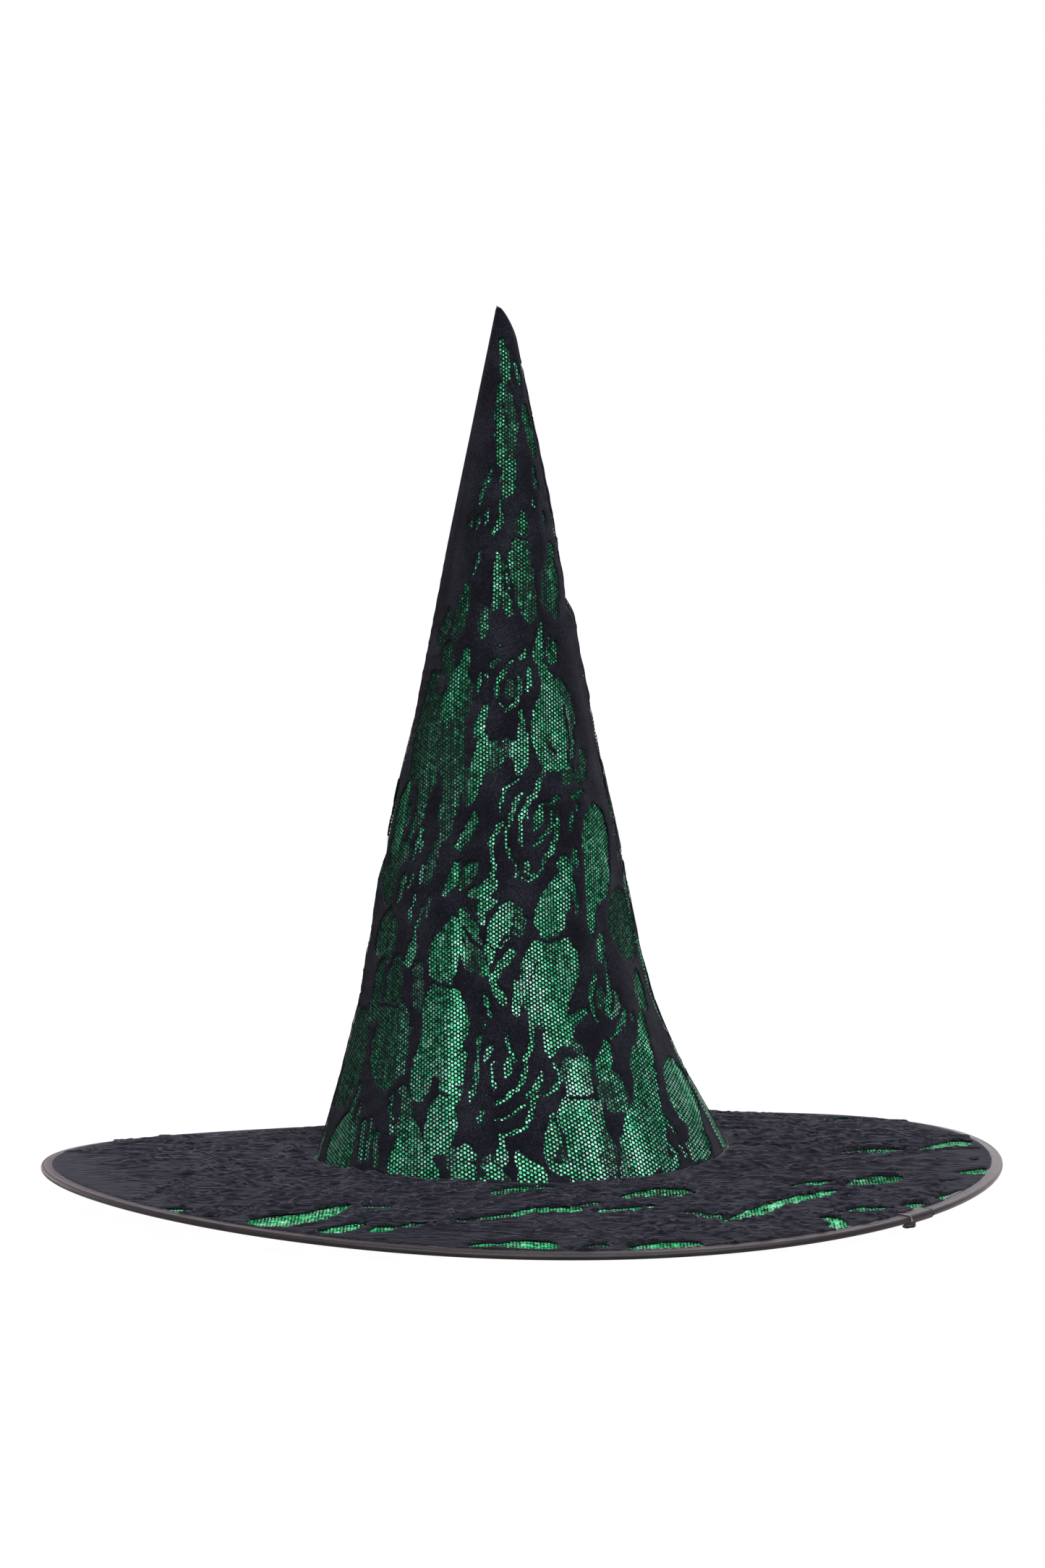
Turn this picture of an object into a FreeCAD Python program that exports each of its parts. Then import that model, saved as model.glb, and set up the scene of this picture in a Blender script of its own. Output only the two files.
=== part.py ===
"""Witch hat: a lace-covered satin cone sewn to a wide wired brim.

The hat stands on its brim with +Z up and its wearer facing -Y.  The origin is
on the floor, under the middle of the brim.  Every length is in millimetres.
"""
import FreeCAD, Part
import os
import Sketcher
from FreeCAD import Placement, Rotation, Vector

# Driving dimensions: alias, value, what it is.
DIMENSIONS = [
    # Brim outline
    ("rim_radius", 220.5, "outside radius of the bound brim edge"),
    ("brim_angle", 6.6, "degrees that the brim drops from the crown to the rim"),
    ("brim_inner_radius", 95.6, "radius of the hole cut in every brim ply"),
    # Crown outline
    ("crown_height", 387, "from the crown seam to the tip"),
    ("cone_slope", 0.2026, "radius lost per millimetre of height on the straight cone"),
    ("tip_radius", 3.1, "radius of the blunt tip"),
    ("flare_height", 75, "height over which the crown flares out to the brim"),
    ("flare_width", 13.7, "how far the flare stands outside the straight cone"),
    ("flare_power", 1.35, "how sharply the flare turns outwards"),
    ("lean", 8.5, "how far the upper cone stands to the left of the seam ring"),
    ("lean_height", 120, "height over which the cone moves to the left"),
    # Heights of the crown's cross sections above the seam
    ("level_seam", 0, "section at the crown seam"),
    ("level_low", 12, "section in the flare"),
    ("level_flare", 25, "section in the flare"),
    ("level_turn", 40, "section in the flare"),
    ("level_neck", 57, "section in the flare"),
    ("level_cone", 75, "section where the straight cone starts"),
    ("level_waist", 120, "section where the cone stops leaning"),
    ("level_middle", 200, "section on the straight cone"),
    ("level_upper", 290, "section on the straight cone"),
    # Plies
    ("lace_thickness", 0.6, "lace, crown and brim"),
    ("satin_thickness", 0.4, "satin, crown, brim and underside"),
    ("stiffener_thickness", 1.2, "stiff interlining, crown and brim"),
    ("ply_gap", 0.1, "air between two plies"),
    ("tip_step", 4, "how much lower each ply ends inside the tip"),
    # Edge wire and binding
    ("wire_radius", 1.1, "steel edge wire"),
    ("wire_cut", 0.3, "degrees left open between the wire's two ends"),
    ("joiner_clearance", 0.05, "between the wire and the crimped joiner"),
    ("joiner_wall", 0.25, "wall of the crimped joiner"),
    ("joiner_span", 5.2, "degrees that the joiner covers"),
    ("binding_room", 1.5, "half the inside height of the folded binding"),
    ("binding_thickness", 0.4, "satin binding"),
    ("binding_leg", 7.5, "length of each flat leg of the binding"),
    ("lap_rise", 0.45, "how far the lapped end stands over the binding"),
    ("lap_gap", 0.05, "between the binding and its lapped end"),
    ("lap_span", 4, "degrees that the lapped end covers"),
    ("lap_angle", -41, "where the lap is, in degrees from +X about +Z"),
    ("tail_length", 6, "raw binding end that sticks out of the lap"),
    ("tail_width", 1.7, "raw binding end, outwards"),
    ("tail_height", 2, "raw binding end, upwards"),
    # Head opening
    ("opening_radius", 91.6, "inside radius of the head tape"),
    ("tape_thickness", 0.7, "head tape"),
    ("tape_bottom", 7.5, "height of the head tape's lower fold above the floor"),
    ("allowance_outer", 95.2, "outside radius of the turned-down seam allowance"),
    ("allowance_inner", 92.4, "inside radius of the turned-down seam allowance"),
    ("tape_lap", 0.4, "how far the tape's inner leg reaches above the crown seam"),
    ("clearance", 0.15, "between sewn pieces that lie against each other"),
    # Crown side seam
    ("seam_angle", -12, "where the side seam is, in degrees from +X about +Z"),
    ("seam_width", 20, "both pressed-open allowances at the crown's base"),
    ("seam_tip_width", 5, "both pressed-open allowances at their upper end"),
    ("seam_thickness", 0.8, "pressed-open allowance"),
    ("thread_radius", 0.25, "sewing thread"),
    ("tack_radius", 1.6, "knot that closes the tip from inside"),
    ("tack_depth", 14, "from the tip down to the knot"),
]

CROWN_LEVELS = ["level_seam", "level_low", "level_flare", "level_turn", "level_neck",
                "level_cone", "level_waist", "level_middle", "level_upper"]
SEAM_LEVELS = ["level_low", "level_flare", "level_turn", "level_neck", "level_cone",
               "level_waist", "level_middle", "level_upper"]

doc = FreeCAD.newDocument("WitchHat")
sheet = doc.addObject("Spreadsheet::Sheet", "Sizes")
for row, (alias, number, meaning) in enumerate(DIMENSIONS, start=1):
    sheet.set(f"A{row}", meaning)
    sheet.set(f"B{row}", str(number))
    sheet.setAlias(f"B{row}", alias)
doc.recompute()

parts = []


# ---------------------------------------------------------------- expressions
def size(alias):
    """The expression that reads one cell of the sheet."""
    return f"Sizes.{alias}"


def value(expression):
    """The number that an expression gives now."""
    result = sheet.evalExpression(expression)
    return float(getattr(result, "Value", result))


def crown_radius(height, depth):
    """Radius of a crown surface that lies depth inside the outer lace."""
    cone = f"{size('tip_radius')} + {size('cone_slope')} * ({size('crown_height')} - ({height}))"
    rise = f"max(0; 1 - ({height}) / {size('flare_height')})"
    flare = f"{size('flare_width')} * pow({rise}; {size('flare_power')})"
    return f"{cone} + {flare} - ({depth})"


def crown_shift(height):
    """X of the crown's centre line at a height."""
    climb = f"min(1; ({height}) / {size('lean_height')})"
    return f"-{size('lean')} * sin(90deg * {climb})"


SLOPE = f"{size('brim_angle')} * 1deg"
EDGE = f"({size('binding_room')} + {size('binding_thickness')})"
WIRE_RING = f"({size('rim_radius')} - {EDGE})"
WIRE_HEIGHT = f"({EDGE} + {size('lap_rise')})"
BRIM_WIDTH = f"(({WIRE_RING} - {size('brim_inner_radius')}) / cos({SLOPE}))"
SEAM_HEIGHT = f"({WIRE_HEIGHT} + {BRIM_WIDTH} * sin({SLOPE}) + {EDGE})"
CROWN_DEPTH = (f"({size('lace_thickness')} + {size('satin_thickness')}"
               f" + {size('stiffener_thickness')} + 2 * {size('ply_gap')})")


# ------------------------------------------------------------------- sketches
def new_body(node):
    body = doc.addObject("PartDesign::Body", node)
    body.Label = node
    parts.append(body)
    return body


def origin_feature(body, role):
    for feature in body.Origin.OriginFeatures:
        if feature.Role == role:
            return feature
    raise RuntimeError(f"no origin feature {role}")


def new_sketch(body, name, role):
    sketch = body.newObject("Sketcher::SketchObject", name)
    sketch.AttachmentSupport = [(origin_feature(body, role), "")]
    sketch.MapMode = "FlatFace"
    return sketch


def level_sketch(body, name, height, shift="0", turn=None):
    """A sketch on a level plane above the crown seam, centred on the crown."""
    sketch = new_sketch(body, name, "XY_Plane")
    sketch.setExpression("AttachmentOffset.Base.x", shift)
    sketch.setExpression("AttachmentOffset.Base.z", f"{SEAM_HEIGHT} + {height}")
    if turn:
        sketch.AttachmentOffset = Placement(Vector(), Rotation(Vector(0, 0, 1), value(turn)))
        sketch.setExpression("AttachmentOffset.Rotation.Angle", f"{turn} * 1deg")
    return sketch


def rim_sketch(body, name):
    """A sketch centred on the edge wire, its x axis running down the brim and outwards."""
    sketch = new_sketch(body, name, "XZ_Plane")
    sketch.AttachmentOffset = Placement(Vector(), Rotation(Vector(0, 0, 1), -value(SLOPE)))
    sketch.setExpression("AttachmentOffset.Base.x", WIRE_RING)
    sketch.setExpression("AttachmentOffset.Base.y", WIRE_HEIGHT)
    sketch.setExpression("AttachmentOffset.Rotation.Angle", f"-{SLOPE}")
    return sketch


def fix(sketch, kind, first, second, expression):
    """A named-size constraint between two points, bound to an expression."""
    index = sketch.addConstraint(Sketcher.Constraint(kind, *first, *second, value(expression)))
    sketch.setExpression(f"Constraints[{index}]", expression)


ORIGIN = (-1, 1)


def draw_circle(sketch, radius, x=None):
    centre = Vector(value(x) if x else 0, 0, 0)
    circle = sketch.addGeometry(Part.Circle(centre, Vector(0, 0, 1), value(radius)))
    if x:
        sketch.addConstraint(Sketcher.Constraint("PointOnObject", circle, 3, -1))
        fix(sketch, "DistanceX", ORIGIN, (circle, 3), x)
    else:
        sketch.addConstraint(Sketcher.Constraint("Coincident", circle, 3, -1, 1))
    index = sketch.addConstraint(Sketcher.Constraint("Radius", circle, value(radius)))
    sketch.setExpression(f"Constraints[{index}]", radius)


def draw_polygon(sketch, corners):
    """A closed outline whose corners are pairs of expressions."""
    points = [Vector(value(x), value(y), 0) for x, y in corners]
    lines = []
    for start, end in zip(points, points[1:] + points[:1]):
        lines.append(sketch.addGeometry(Part.LineSegment(start, end)))
    for line, following in zip(lines, lines[1:] + lines[:1]):
        sketch.addConstraint(Sketcher.Constraint("Coincident", line, 2, following, 1))
    for line, (x, y) in zip(lines, corners):
        fix(sketch, "DistanceX", ORIGIN, (line, 1), x)
        fix(sketch, "DistanceY", ORIGIN, (line, 1), y)


def draw_rectangle(sketch, left, right, low, high):
    draw_polygon(sketch, [(left, low), (right, low), (right, high), (left, high)])


def draw_fold(sketch, inside, outside, leg):
    """The section of a strip folded round the wire: two legs joined by half a ring."""
    arcs = []
    for radius in (outside, inside):
        half_ring = Part.ArcOfCircle(Part.Circle(Vector(), Vector(0, 0, 1), value(radius)),
                                     -1.5707963, 1.5707963)
        arc = sketch.addGeometry(half_ring)
        sketch.addConstraint(Sketcher.Constraint("Coincident", arc, 3, -1, 1))
        sketch.addConstraint(Sketcher.Constraint("PointOnObject", arc, 1, -2))
        sketch.addConstraint(Sketcher.Constraint("PointOnObject", arc, 2, -2))
        index = sketch.addConstraint(Sketcher.Constraint("Radius", arc, value(radius)))
        sketch.setExpression(f"Constraints[{index}]", radius)
        arcs.append(arc)
    for end, side in ((1, -1), (2, 1)):
        legs = []
        for arc, radius in zip(arcs, (outside, inside)):
            height = side * value(radius)
            line = sketch.addGeometry(Part.LineSegment(Vector(0, height, 0),
                                                       Vector(-value(leg), height, 0)))
            sketch.addConstraint(Sketcher.Constraint("Coincident", line, 1, arc, end))
            sketch.addConstraint(Sketcher.Constraint("Horizontal", line))
            fix(sketch, "DistanceX", (line, 2), (line, 1), leg)
            legs.append(line)
        cut_edge = sketch.addGeometry(Part.LineSegment(
            Vector(-value(leg), side * value(outside), 0),
            Vector(-value(leg), side * value(inside), 0)))
        sketch.addConstraint(Sketcher.Constraint("Coincident", cut_edge, 1, legs[0], 2))
        sketch.addConstraint(Sketcher.Constraint("Coincident", cut_edge, 2, legs[1], 2))


def revolve(body, sketch, name, angle=None):
    """Turn a section about the hat's Z axis, the whole way round or by an angle."""
    feature = body.newObject("PartDesign::Revolution", name)
    feature.Profile = sketch
    feature.ReferenceAxis = (origin_feature(body, "Z_Axis"), [""])
    feature.Angle = 360
    if angle:
        feature.setExpression("Angle", angle)
    return feature


def turn_body(body, degrees):
    """Turn a finished body about Z, where its sections start on the XZ plane."""
    body.Placement = Placement(Vector(), Rotation(Vector(0, 0, 1), value(degrees)))
    body.setExpression("Placement.Rotation.Angle", f"({degrees}) * 1deg")


# ---------------------------------------------------------------------- crown
def crown_loft(body, kind, label, depth, drop):
    """The cone bounded by the crown surface at a depth, ending drop below the tip."""
    heights = [size(level) for level in CROWN_LEVELS] + [f"{size('crown_height')} - ({drop})"]
    sections = []
    for number, height in enumerate(heights):
        name = f"{body.Label}_{label}_{number}"
        sketch = level_sketch(body, name, height, crown_shift(height))
        draw_circle(sketch, crown_radius(height, depth))
        sections.append(sketch)
    loft = body.newObject(kind, f"{body.Label}_{label}")
    loft.Profile = sections[0]
    loft.Sections = sections[1:]
    loft.Ruled = True


def crown_ply(node, depth, thickness, drop, next_drop):
    body = new_body(node)
    crown_loft(body, "PartDesign::AdditiveLoft", "outside", depth, drop)
    inside = f"{depth} + {thickness}"
    crown_loft(body, "PartDesign::SubtractiveLoft", "inside", inside, next_drop)


def crown_plies():
    gap = size("ply_gap")
    step = size("tip_step")
    lace = size("lace_thickness")
    satin = size("satin_thickness")
    satin_depth = f"{lace} + {gap}"
    stiffener_depth = f"{satin_depth} + {satin} + {gap}"
    crown_ply("crown_lace", "0", lace, "0", step)
    crown_ply("crown_satin", satin_depth, satin, f"{step} + {gap}", f"2 * {step}")
    crown_ply("crown_interlining", stiffener_depth, size("stiffener_thickness"),
              f"2 * {step} + {gap}", f"3 * {step}")


def seam_wall(height):
    """How far out the inside of the crown lets a flat strip lie at the side seam."""
    wall = crown_radius(height, f"{CROWN_DEPTH} + {size('clearance')}")
    chord = f"{seam_width_at(height)} / 2"
    return f"sqrt(pow({wall}; 2) - pow({chord}; 2)) - {size('clearance')}"


def seam_width_at(height):
    narrowing = f"({size('seam_width')} - {size('seam_tip_width')})"
    return f"({size('seam_width')} - {narrowing} * ({height}) / {size('level_upper')})"


def seam_loft(node, draw):
    """A straight-sided strip or thread that climbs the inside of the side seam."""
    body = new_body(node)
    sections = []
    for level in SEAM_LEVELS:
        height = size(level)
        sketch = level_sketch(body, f"{node}_{level}", height, crown_shift(height),
                              size("seam_angle"))
        draw(sketch, height)
        sections.append(sketch)
    loft = body.newObject("PartDesign::AdditiveLoft", f"{node}_loft")
    loft.Profile = sections[0]
    loft.Sections = sections[1:]
    loft.Ruled = True


def crown_side_seam():
    def strip(sketch, height):
        outer = seam_wall(height)
        half = f"{seam_width_at(height)} / 2"
        draw_rectangle(sketch, f"{outer} - {size('seam_thickness')}", outer, f"-{half}", half)

    seam_loft("crown_side_seam", strip)


def crown_seam_thread():
    def stitch_line(sketch, height):
        face = f"{seam_wall(height)} - {size('seam_thickness')}"
        draw_circle(sketch, size("thread_radius"),
                    f"{face} - {size('thread_radius')} - {size('ply_gap')}")

    seam_loft("crown_seam_thread", stitch_line)


def tip_tack():
    """The knot that gathers the top of the interlining, inside the tip."""
    knot = doc.addObject("Part::Sphere", "tip_tack")
    knot.Label = "tip_tack"
    knot.setExpression("Radius", size("tack_radius"))
    knot.Placement = Placement(Vector(0, 0, 1), Rotation())
    knot.setExpression("Placement.Base.x", crown_shift(size("crown_height")))
    knot.setExpression("Placement.Base.z",
                       f"{SEAM_HEIGHT} + {size('crown_height')} - {size('tack_depth')}")
    parts.append(knot)


# ----------------------------------------------------------------------- brim
def brim_ply(node, low, high):
    """A flat ring cut on the brim's slope, between two heights over the wire's plane."""
    body = new_body(node)
    sketch = rim_sketch(body, f"{node}_section")
    outer = f"-({size('wire_radius')} + 2 * {size('joiner_wall')})"
    draw_rectangle(sketch, f"-{BRIM_WIDTH}", outer, low, high)
    revolve(body, sketch, f"{node}_ring")


def brim_plies():
    gap = size("ply_gap")
    top = f"({size('binding_room')} - {gap})"
    lace_low = f"({top} - {size('lace_thickness')})"
    satin_top = f"({lace_low} - {gap})"
    satin_low = f"({satin_top} - {size('satin_thickness')})"
    stiffener_top = f"({satin_low} - {gap})"
    stiffener_low = f"({stiffener_top} - {size('stiffener_thickness')})"
    under_top = f"({stiffener_low} - {gap})"
    under_low = f"({under_top} - {size('satin_thickness')})"
    brim_ply("brim_lace", lace_low, top)
    brim_ply("brim_satin", satin_low, satin_top)
    brim_ply("brim_interlining", stiffener_low, stiffener_top)
    brim_ply("brim_underside", under_low, under_top)


def brim_wire():
    """One turn of wire whose ends meet inside the joiner, opposite the lap."""
    body = new_body("brim_wire")
    sketch = rim_sketch(body, "brim_wire_section")
    draw_circle(sketch, size("wire_radius"))
    revolve(body, sketch, "brim_wire_turn", f"360 - {size('wire_cut')}")
    turn_body(body, f"{size('lap_angle')} + 180 + {size('wire_cut')} / 2")


def wire_joiner():
    body = new_body("wire_joiner")
    sketch = rim_sketch(body, "wire_joiner_section")
    bore = f"{size('wire_radius')} + {size('joiner_clearance')}"
    draw_circle(sketch, bore)
    draw_circle(sketch, f"{bore} + {size('joiner_wall')}")
    revolve(body, sketch, "wire_joiner_sleeve", size("joiner_span"))
    turn_body(body, f"{size('lap_angle')} + 180 - {size('joiner_span')} / 2")


def folded_strip(node, inside, outside, leg, angle=None):
    """A strip folded round the wire, all the way round the brim or over an angle."""
    body = new_body(node)
    sketch = rim_sketch(body, f"{node}_section")
    draw_fold(sketch, inside, outside, leg)
    revolve(body, sketch, f"{node}_turn", angle)
    return body


def brim_binding():
    folded_strip("brim_binding", size("binding_room"), EDGE, size("binding_leg"))


def binding_lap():
    """The folded-over end of the strip, which covers its beginning."""
    lap = folded_strip("binding_lap", f"{EDGE} + {size('lap_gap')}", f"{EDGE} + {size('lap_rise')}",
                       f"{size('binding_leg')} + {size('lap_rise')}", size("lap_span"))
    turn_body(lap, size("lap_angle"))


def binding_tail():
    """The raw end of the strip that sticks out from under the lap."""
    tail = doc.addObject("Part::Box", "binding_tail")
    tail.Label = "binding_tail"
    tail.setExpression("Length", size("tail_width"))
    tail.setExpression("Width", size("tail_length"))
    tail.setExpression("Height", size("tail_height"))
    turn = f"({size('lap_angle')} * 1deg)"
    out = f"({size('rim_radius')} + {size('clearance')})"
    back = f"({size('tail_length')} + {size('clearance')})"
    tail.Placement = Placement(Vector(0, 0, 1), Rotation(Vector(0, 0, 1), value(size("lap_angle"))))
    tail.setExpression("Placement.Rotation.Angle", turn)
    tail.setExpression("Placement.Base.x", f"{out} * cos({turn}) + {back} * sin({turn})")
    tail.setExpression("Placement.Base.y", f"{out} * sin({turn}) - {back} * cos({turn})")
    tail.setExpression("Placement.Base.z", size("lap_rise"))
    parts.append(tail)


def thread_ring(node, radius, height):
    """One closed line of stitches round the hat."""
    ring = doc.addObject("Part::Torus", node)
    ring.Label = node
    ring.setExpression("Radius1", radius)
    ring.setExpression("Radius2", size("thread_radius"))
    ring.Placement = Placement(Vector(0, 0, 1), Rotation())
    ring.setExpression("Placement.Base.z", height)
    parts.append(ring)


def binding_thread():
    """The stitch line near the binding's inner edge, on its upper face."""
    along = f"({size('binding_leg')} * 0.85)"
    above = f"({EDGE} + {size('lap_rise')} + {size('thread_radius')} + {size('ply_gap')})"
    thread_ring("binding_thread",
                f"{WIRE_RING} - {along} * cos({SLOPE}) + {above} * sin({SLOPE})",
                f"{WIRE_HEIGHT} + {along} * sin({SLOPE}) + {above} * cos({SLOPE})")


# --------------------------------------------------------------- head opening
UNDER_BRIM = f"({SEAM_HEIGHT} - 2 * {EDGE} / cos({SLOPE}))"


def ring_body(node, corners):
    body = new_body(node)
    sketch = new_sketch(body, f"{node}_section", "XZ_Plane")
    draw_polygon(sketch, corners)
    revolve(body, sketch, f"{node}_ring")


def join_allowance():
    """Crown and brim plies turned down together below the crown seam."""
    top = f"{SEAM_HEIGHT} - {size('ply_gap')}"
    low = f"{size('tape_bottom')} + {size('tape_thickness')} + {size('ply_gap')}"
    inner = size("allowance_inner")
    outer = size("allowance_outer")
    ring_body("join_allowance", [(inner, low), (outer, low), (outer, top), (inner, top)])


def head_tape():
    """The soft tape folded round the turned-down allowance, against the forehead."""
    wall = size("tape_thickness")
    inner = size("opening_radius")
    outer = f"{size('allowance_outer')} + {size('ply_gap')} + {wall}"
    floor = size("tape_bottom")
    inner_top = f"{SEAM_HEIGHT} + {size('tape_lap')}"
    outer_top = f"{UNDER_BRIM} - 4 * {size('thread_radius')}"
    ring_body("head_tape", [
        (inner, floor), (outer, floor), (outer, outer_top), (f"{outer} - {wall}", outer_top),
        (f"{outer} - {wall}", f"{floor} + {wall}"), (f"{inner} + {wall}", f"{floor} + {wall}"),
        (f"{inner} + {wall}", inner_top), (inner, inner_top)])


def join_threads():
    touch = f"{size('thread_radius')} + {size('ply_gap')}"
    thread_ring("join_thread", f"{size('allowance_outer')} + {touch}",
                f"{UNDER_BRIM} - 2 * {size('thread_radius')}")
    tape_face = f"{size('allowance_outer')} + {size('ply_gap')} + {size('tape_thickness')}"
    thread_ring("head_tape_thread", f"{tape_face} + {touch}", f"{size('tape_bottom')} + 2")


crown_plies()
crown_side_seam()
crown_seam_thread()
tip_tack()
brim_plies()
brim_wire()
wire_joiner()
brim_binding()
binding_lap()
binding_tail()
binding_thread()
join_allowance()
head_tape()
join_threads()
doc.recompute()

broken = []
for item in doc.Objects:
    if "Invalid" in item.State or "Error" in item.State:
        broken.append(item.Name)
for part in parts:
    if part.Shape.isNull() or not part.Shape.isValid() or part.Shape.Volume <= 0:
        broken.append(part.Label)
if broken:
    raise RuntimeError(f"these objects failed: {sorted(set(broken))}")

os.makedirs("parts", exist_ok=True)
for part in parts:
    part.Shape.exportStep(f"parts/{part.Label}.step")
    box = part.Shape.optimalBoundingBox()
    print(f"{part.Label:18s} solids {len(part.Shape.Solids)} volume {part.Shape.Volume:9.1f}"
          f" x {box.XMin:8.2f} {box.XMax:8.2f} y {box.YMin:8.2f} {box.YMax:8.2f}"
          f" z {box.ZMin:7.2f} {box.ZMax:7.2f}")
print("crown seam height", value(SEAM_HEIGHT), "wire ring", value(WIRE_RING))
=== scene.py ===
"""Looks of the witch hat: floral lace over green satin, on a creased cone and a wired brim."""
import math
import bpy
import numpy as np
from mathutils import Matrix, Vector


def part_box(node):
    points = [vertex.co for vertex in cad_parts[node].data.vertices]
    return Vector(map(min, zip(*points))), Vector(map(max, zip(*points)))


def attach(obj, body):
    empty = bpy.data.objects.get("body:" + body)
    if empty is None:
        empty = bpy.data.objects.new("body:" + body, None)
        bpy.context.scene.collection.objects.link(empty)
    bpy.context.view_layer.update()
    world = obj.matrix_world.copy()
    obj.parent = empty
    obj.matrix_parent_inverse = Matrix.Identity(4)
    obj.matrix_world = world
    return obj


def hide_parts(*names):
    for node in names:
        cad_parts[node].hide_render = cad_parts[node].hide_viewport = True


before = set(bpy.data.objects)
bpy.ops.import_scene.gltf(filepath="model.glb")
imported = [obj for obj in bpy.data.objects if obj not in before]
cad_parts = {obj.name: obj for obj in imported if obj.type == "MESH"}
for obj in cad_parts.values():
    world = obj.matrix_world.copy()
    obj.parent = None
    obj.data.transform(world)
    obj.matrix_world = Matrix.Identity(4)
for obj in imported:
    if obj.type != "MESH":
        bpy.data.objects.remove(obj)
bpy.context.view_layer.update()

# ---------------------------------------------------------------- sizes, metres
crown_low, crown_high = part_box("crown_lace")
tape_low, tape_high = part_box("head_tape")
SEAM_RADIUS = crown_high[0]
SEAM_Z = crown_low[2]
CROWN_HEIGHT = crown_high[2] - crown_low[2]
RIM_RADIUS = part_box("brim_binding")[1][0]

MM = 0.001
CONE_SLOPE = 0.2026
TIP_RADIUS = 3.1 * MM
TIP_CAP = 15.5 * MM
FLARE_HEIGHT = 75 * MM
FLARE_WIDTH = SEAM_RADIUS - TIP_RADIUS - CONE_SLOPE * CROWN_HEIGHT
FLARE_POWER = 1.35
LEAN = 8.5 * MM
LEAN_HEIGHT = 120 * MM
SEAM_ANGLE = math.radians(-12)

EDGE = 1.4 * MM                 # radius of the binding's outer fold
WIRE_RADIUS = 1.0 * MM
WIRE_RING = RIM_RADIUS - EDGE
WIRE_LOWEST = EDGE + 0.5 * MM
BINDING_LEG = 5.1 * MM
LAP_ANGLE = math.radians(-41)
LAP_SPAN = math.radians(4.5)

# How far each ply of the crown lies inside the outermost face of the lace
NET_DEPTH = 0.45 * MM
SATIN_DEPTH = 1.0 * MM
STIFFENER_DEPTH = 2.2 * MM
INSIDE_DEPTH = STIFFENER_DEPTH + 1.0 * MM
# How far each ply of the brim lies over the brim's middle plane
NET_LIFT = 1.1 * MM
HALF_NET_LIFT = 1.4 * MM
LACE_LIFT = 1.13 * MM
SATIN_LIFT = 0.6 * MM
STIFFENER_LIFTS = (-0.85 * MM, 0.35 * MM)
UNDERSIDE_LIFT = -1.15 * MM

CROWN_RELIEF = 0.5              # millimetres that dense lace stands over its net
BRIM_RELIEF = 0.8
CROWN_CELL = 0.9                # millimetres between the points of each lace pattern's grid
BRIM_CELL = 1.15

CONE_ANGLE = math.atan(CONE_SLOPE)
APEX = (CROWN_HEIGHT + TIP_RADIUS / CONE_SLOPE) / MM    # millimetres above the seam
SECTOR = math.sin(CONE_ANGLE)   # flat angle of the unrolled cone over its turn
FRONT = math.radians(-90)
FAR = 1e3                       # millimetres; further than any edge of the lace


# ------------------------------------------------------------------- surfaces
def waves(theta, height, seed, count, turns, pitch):
    """A smooth random field from about -1 to 1 that closes on itself round the hat.

    turns is the range of whole waves round the hat, pitch the range of wavelengths along height.
    """
    rng = np.random.default_rng(seed)
    total = np.zeros(np.broadcast(theta, height).shape)
    for _ in range(count):
        around = rng.integers(turns[0], turns[1] + 1) * rng.choice((-1, 1))
        along = 2 * math.pi / rng.uniform(*pitch)
        total += np.sin(around * theta + along * height + rng.uniform(0, 2 * math.pi))
    return total / math.sqrt(count)


def angle_from(theta, centre):
    """How far theta is from centre, from -pi to pi."""
    return (theta - centre + math.pi) % (2 * math.pi) - math.pi


def hump(distance, width):
    return np.exp(-(distance / width) ** 2)


def ridged(field, power=2):
    """Narrow ridges, from 0 to 1, where a smooth field crosses zero."""
    return (1 - np.clip(np.abs(field), 0, 1)) ** power


def cone_radius(height):
    rise = np.clip(1 - height / FLARE_HEIGHT, 0, None)
    return TIP_RADIUS + CONE_SLOPE * (CROWN_HEIGHT - height) + FLARE_WIDTH * rise ** FLARE_POWER


def crown_radius(height):
    cap = np.clip((height - CROWN_HEIGHT + TIP_CAP) / TIP_CAP, 0, 1)
    return cone_radius(height) * np.sqrt(1.0001 - cap ** 2)


def seam_rise(theta):
    """How far the crown's base ring stands above its mean height."""
    return (1.9 * np.sin(2 * theta) + 3.3 * np.cos(theta) + 2.6 * np.sin(theta)) * MM


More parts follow.
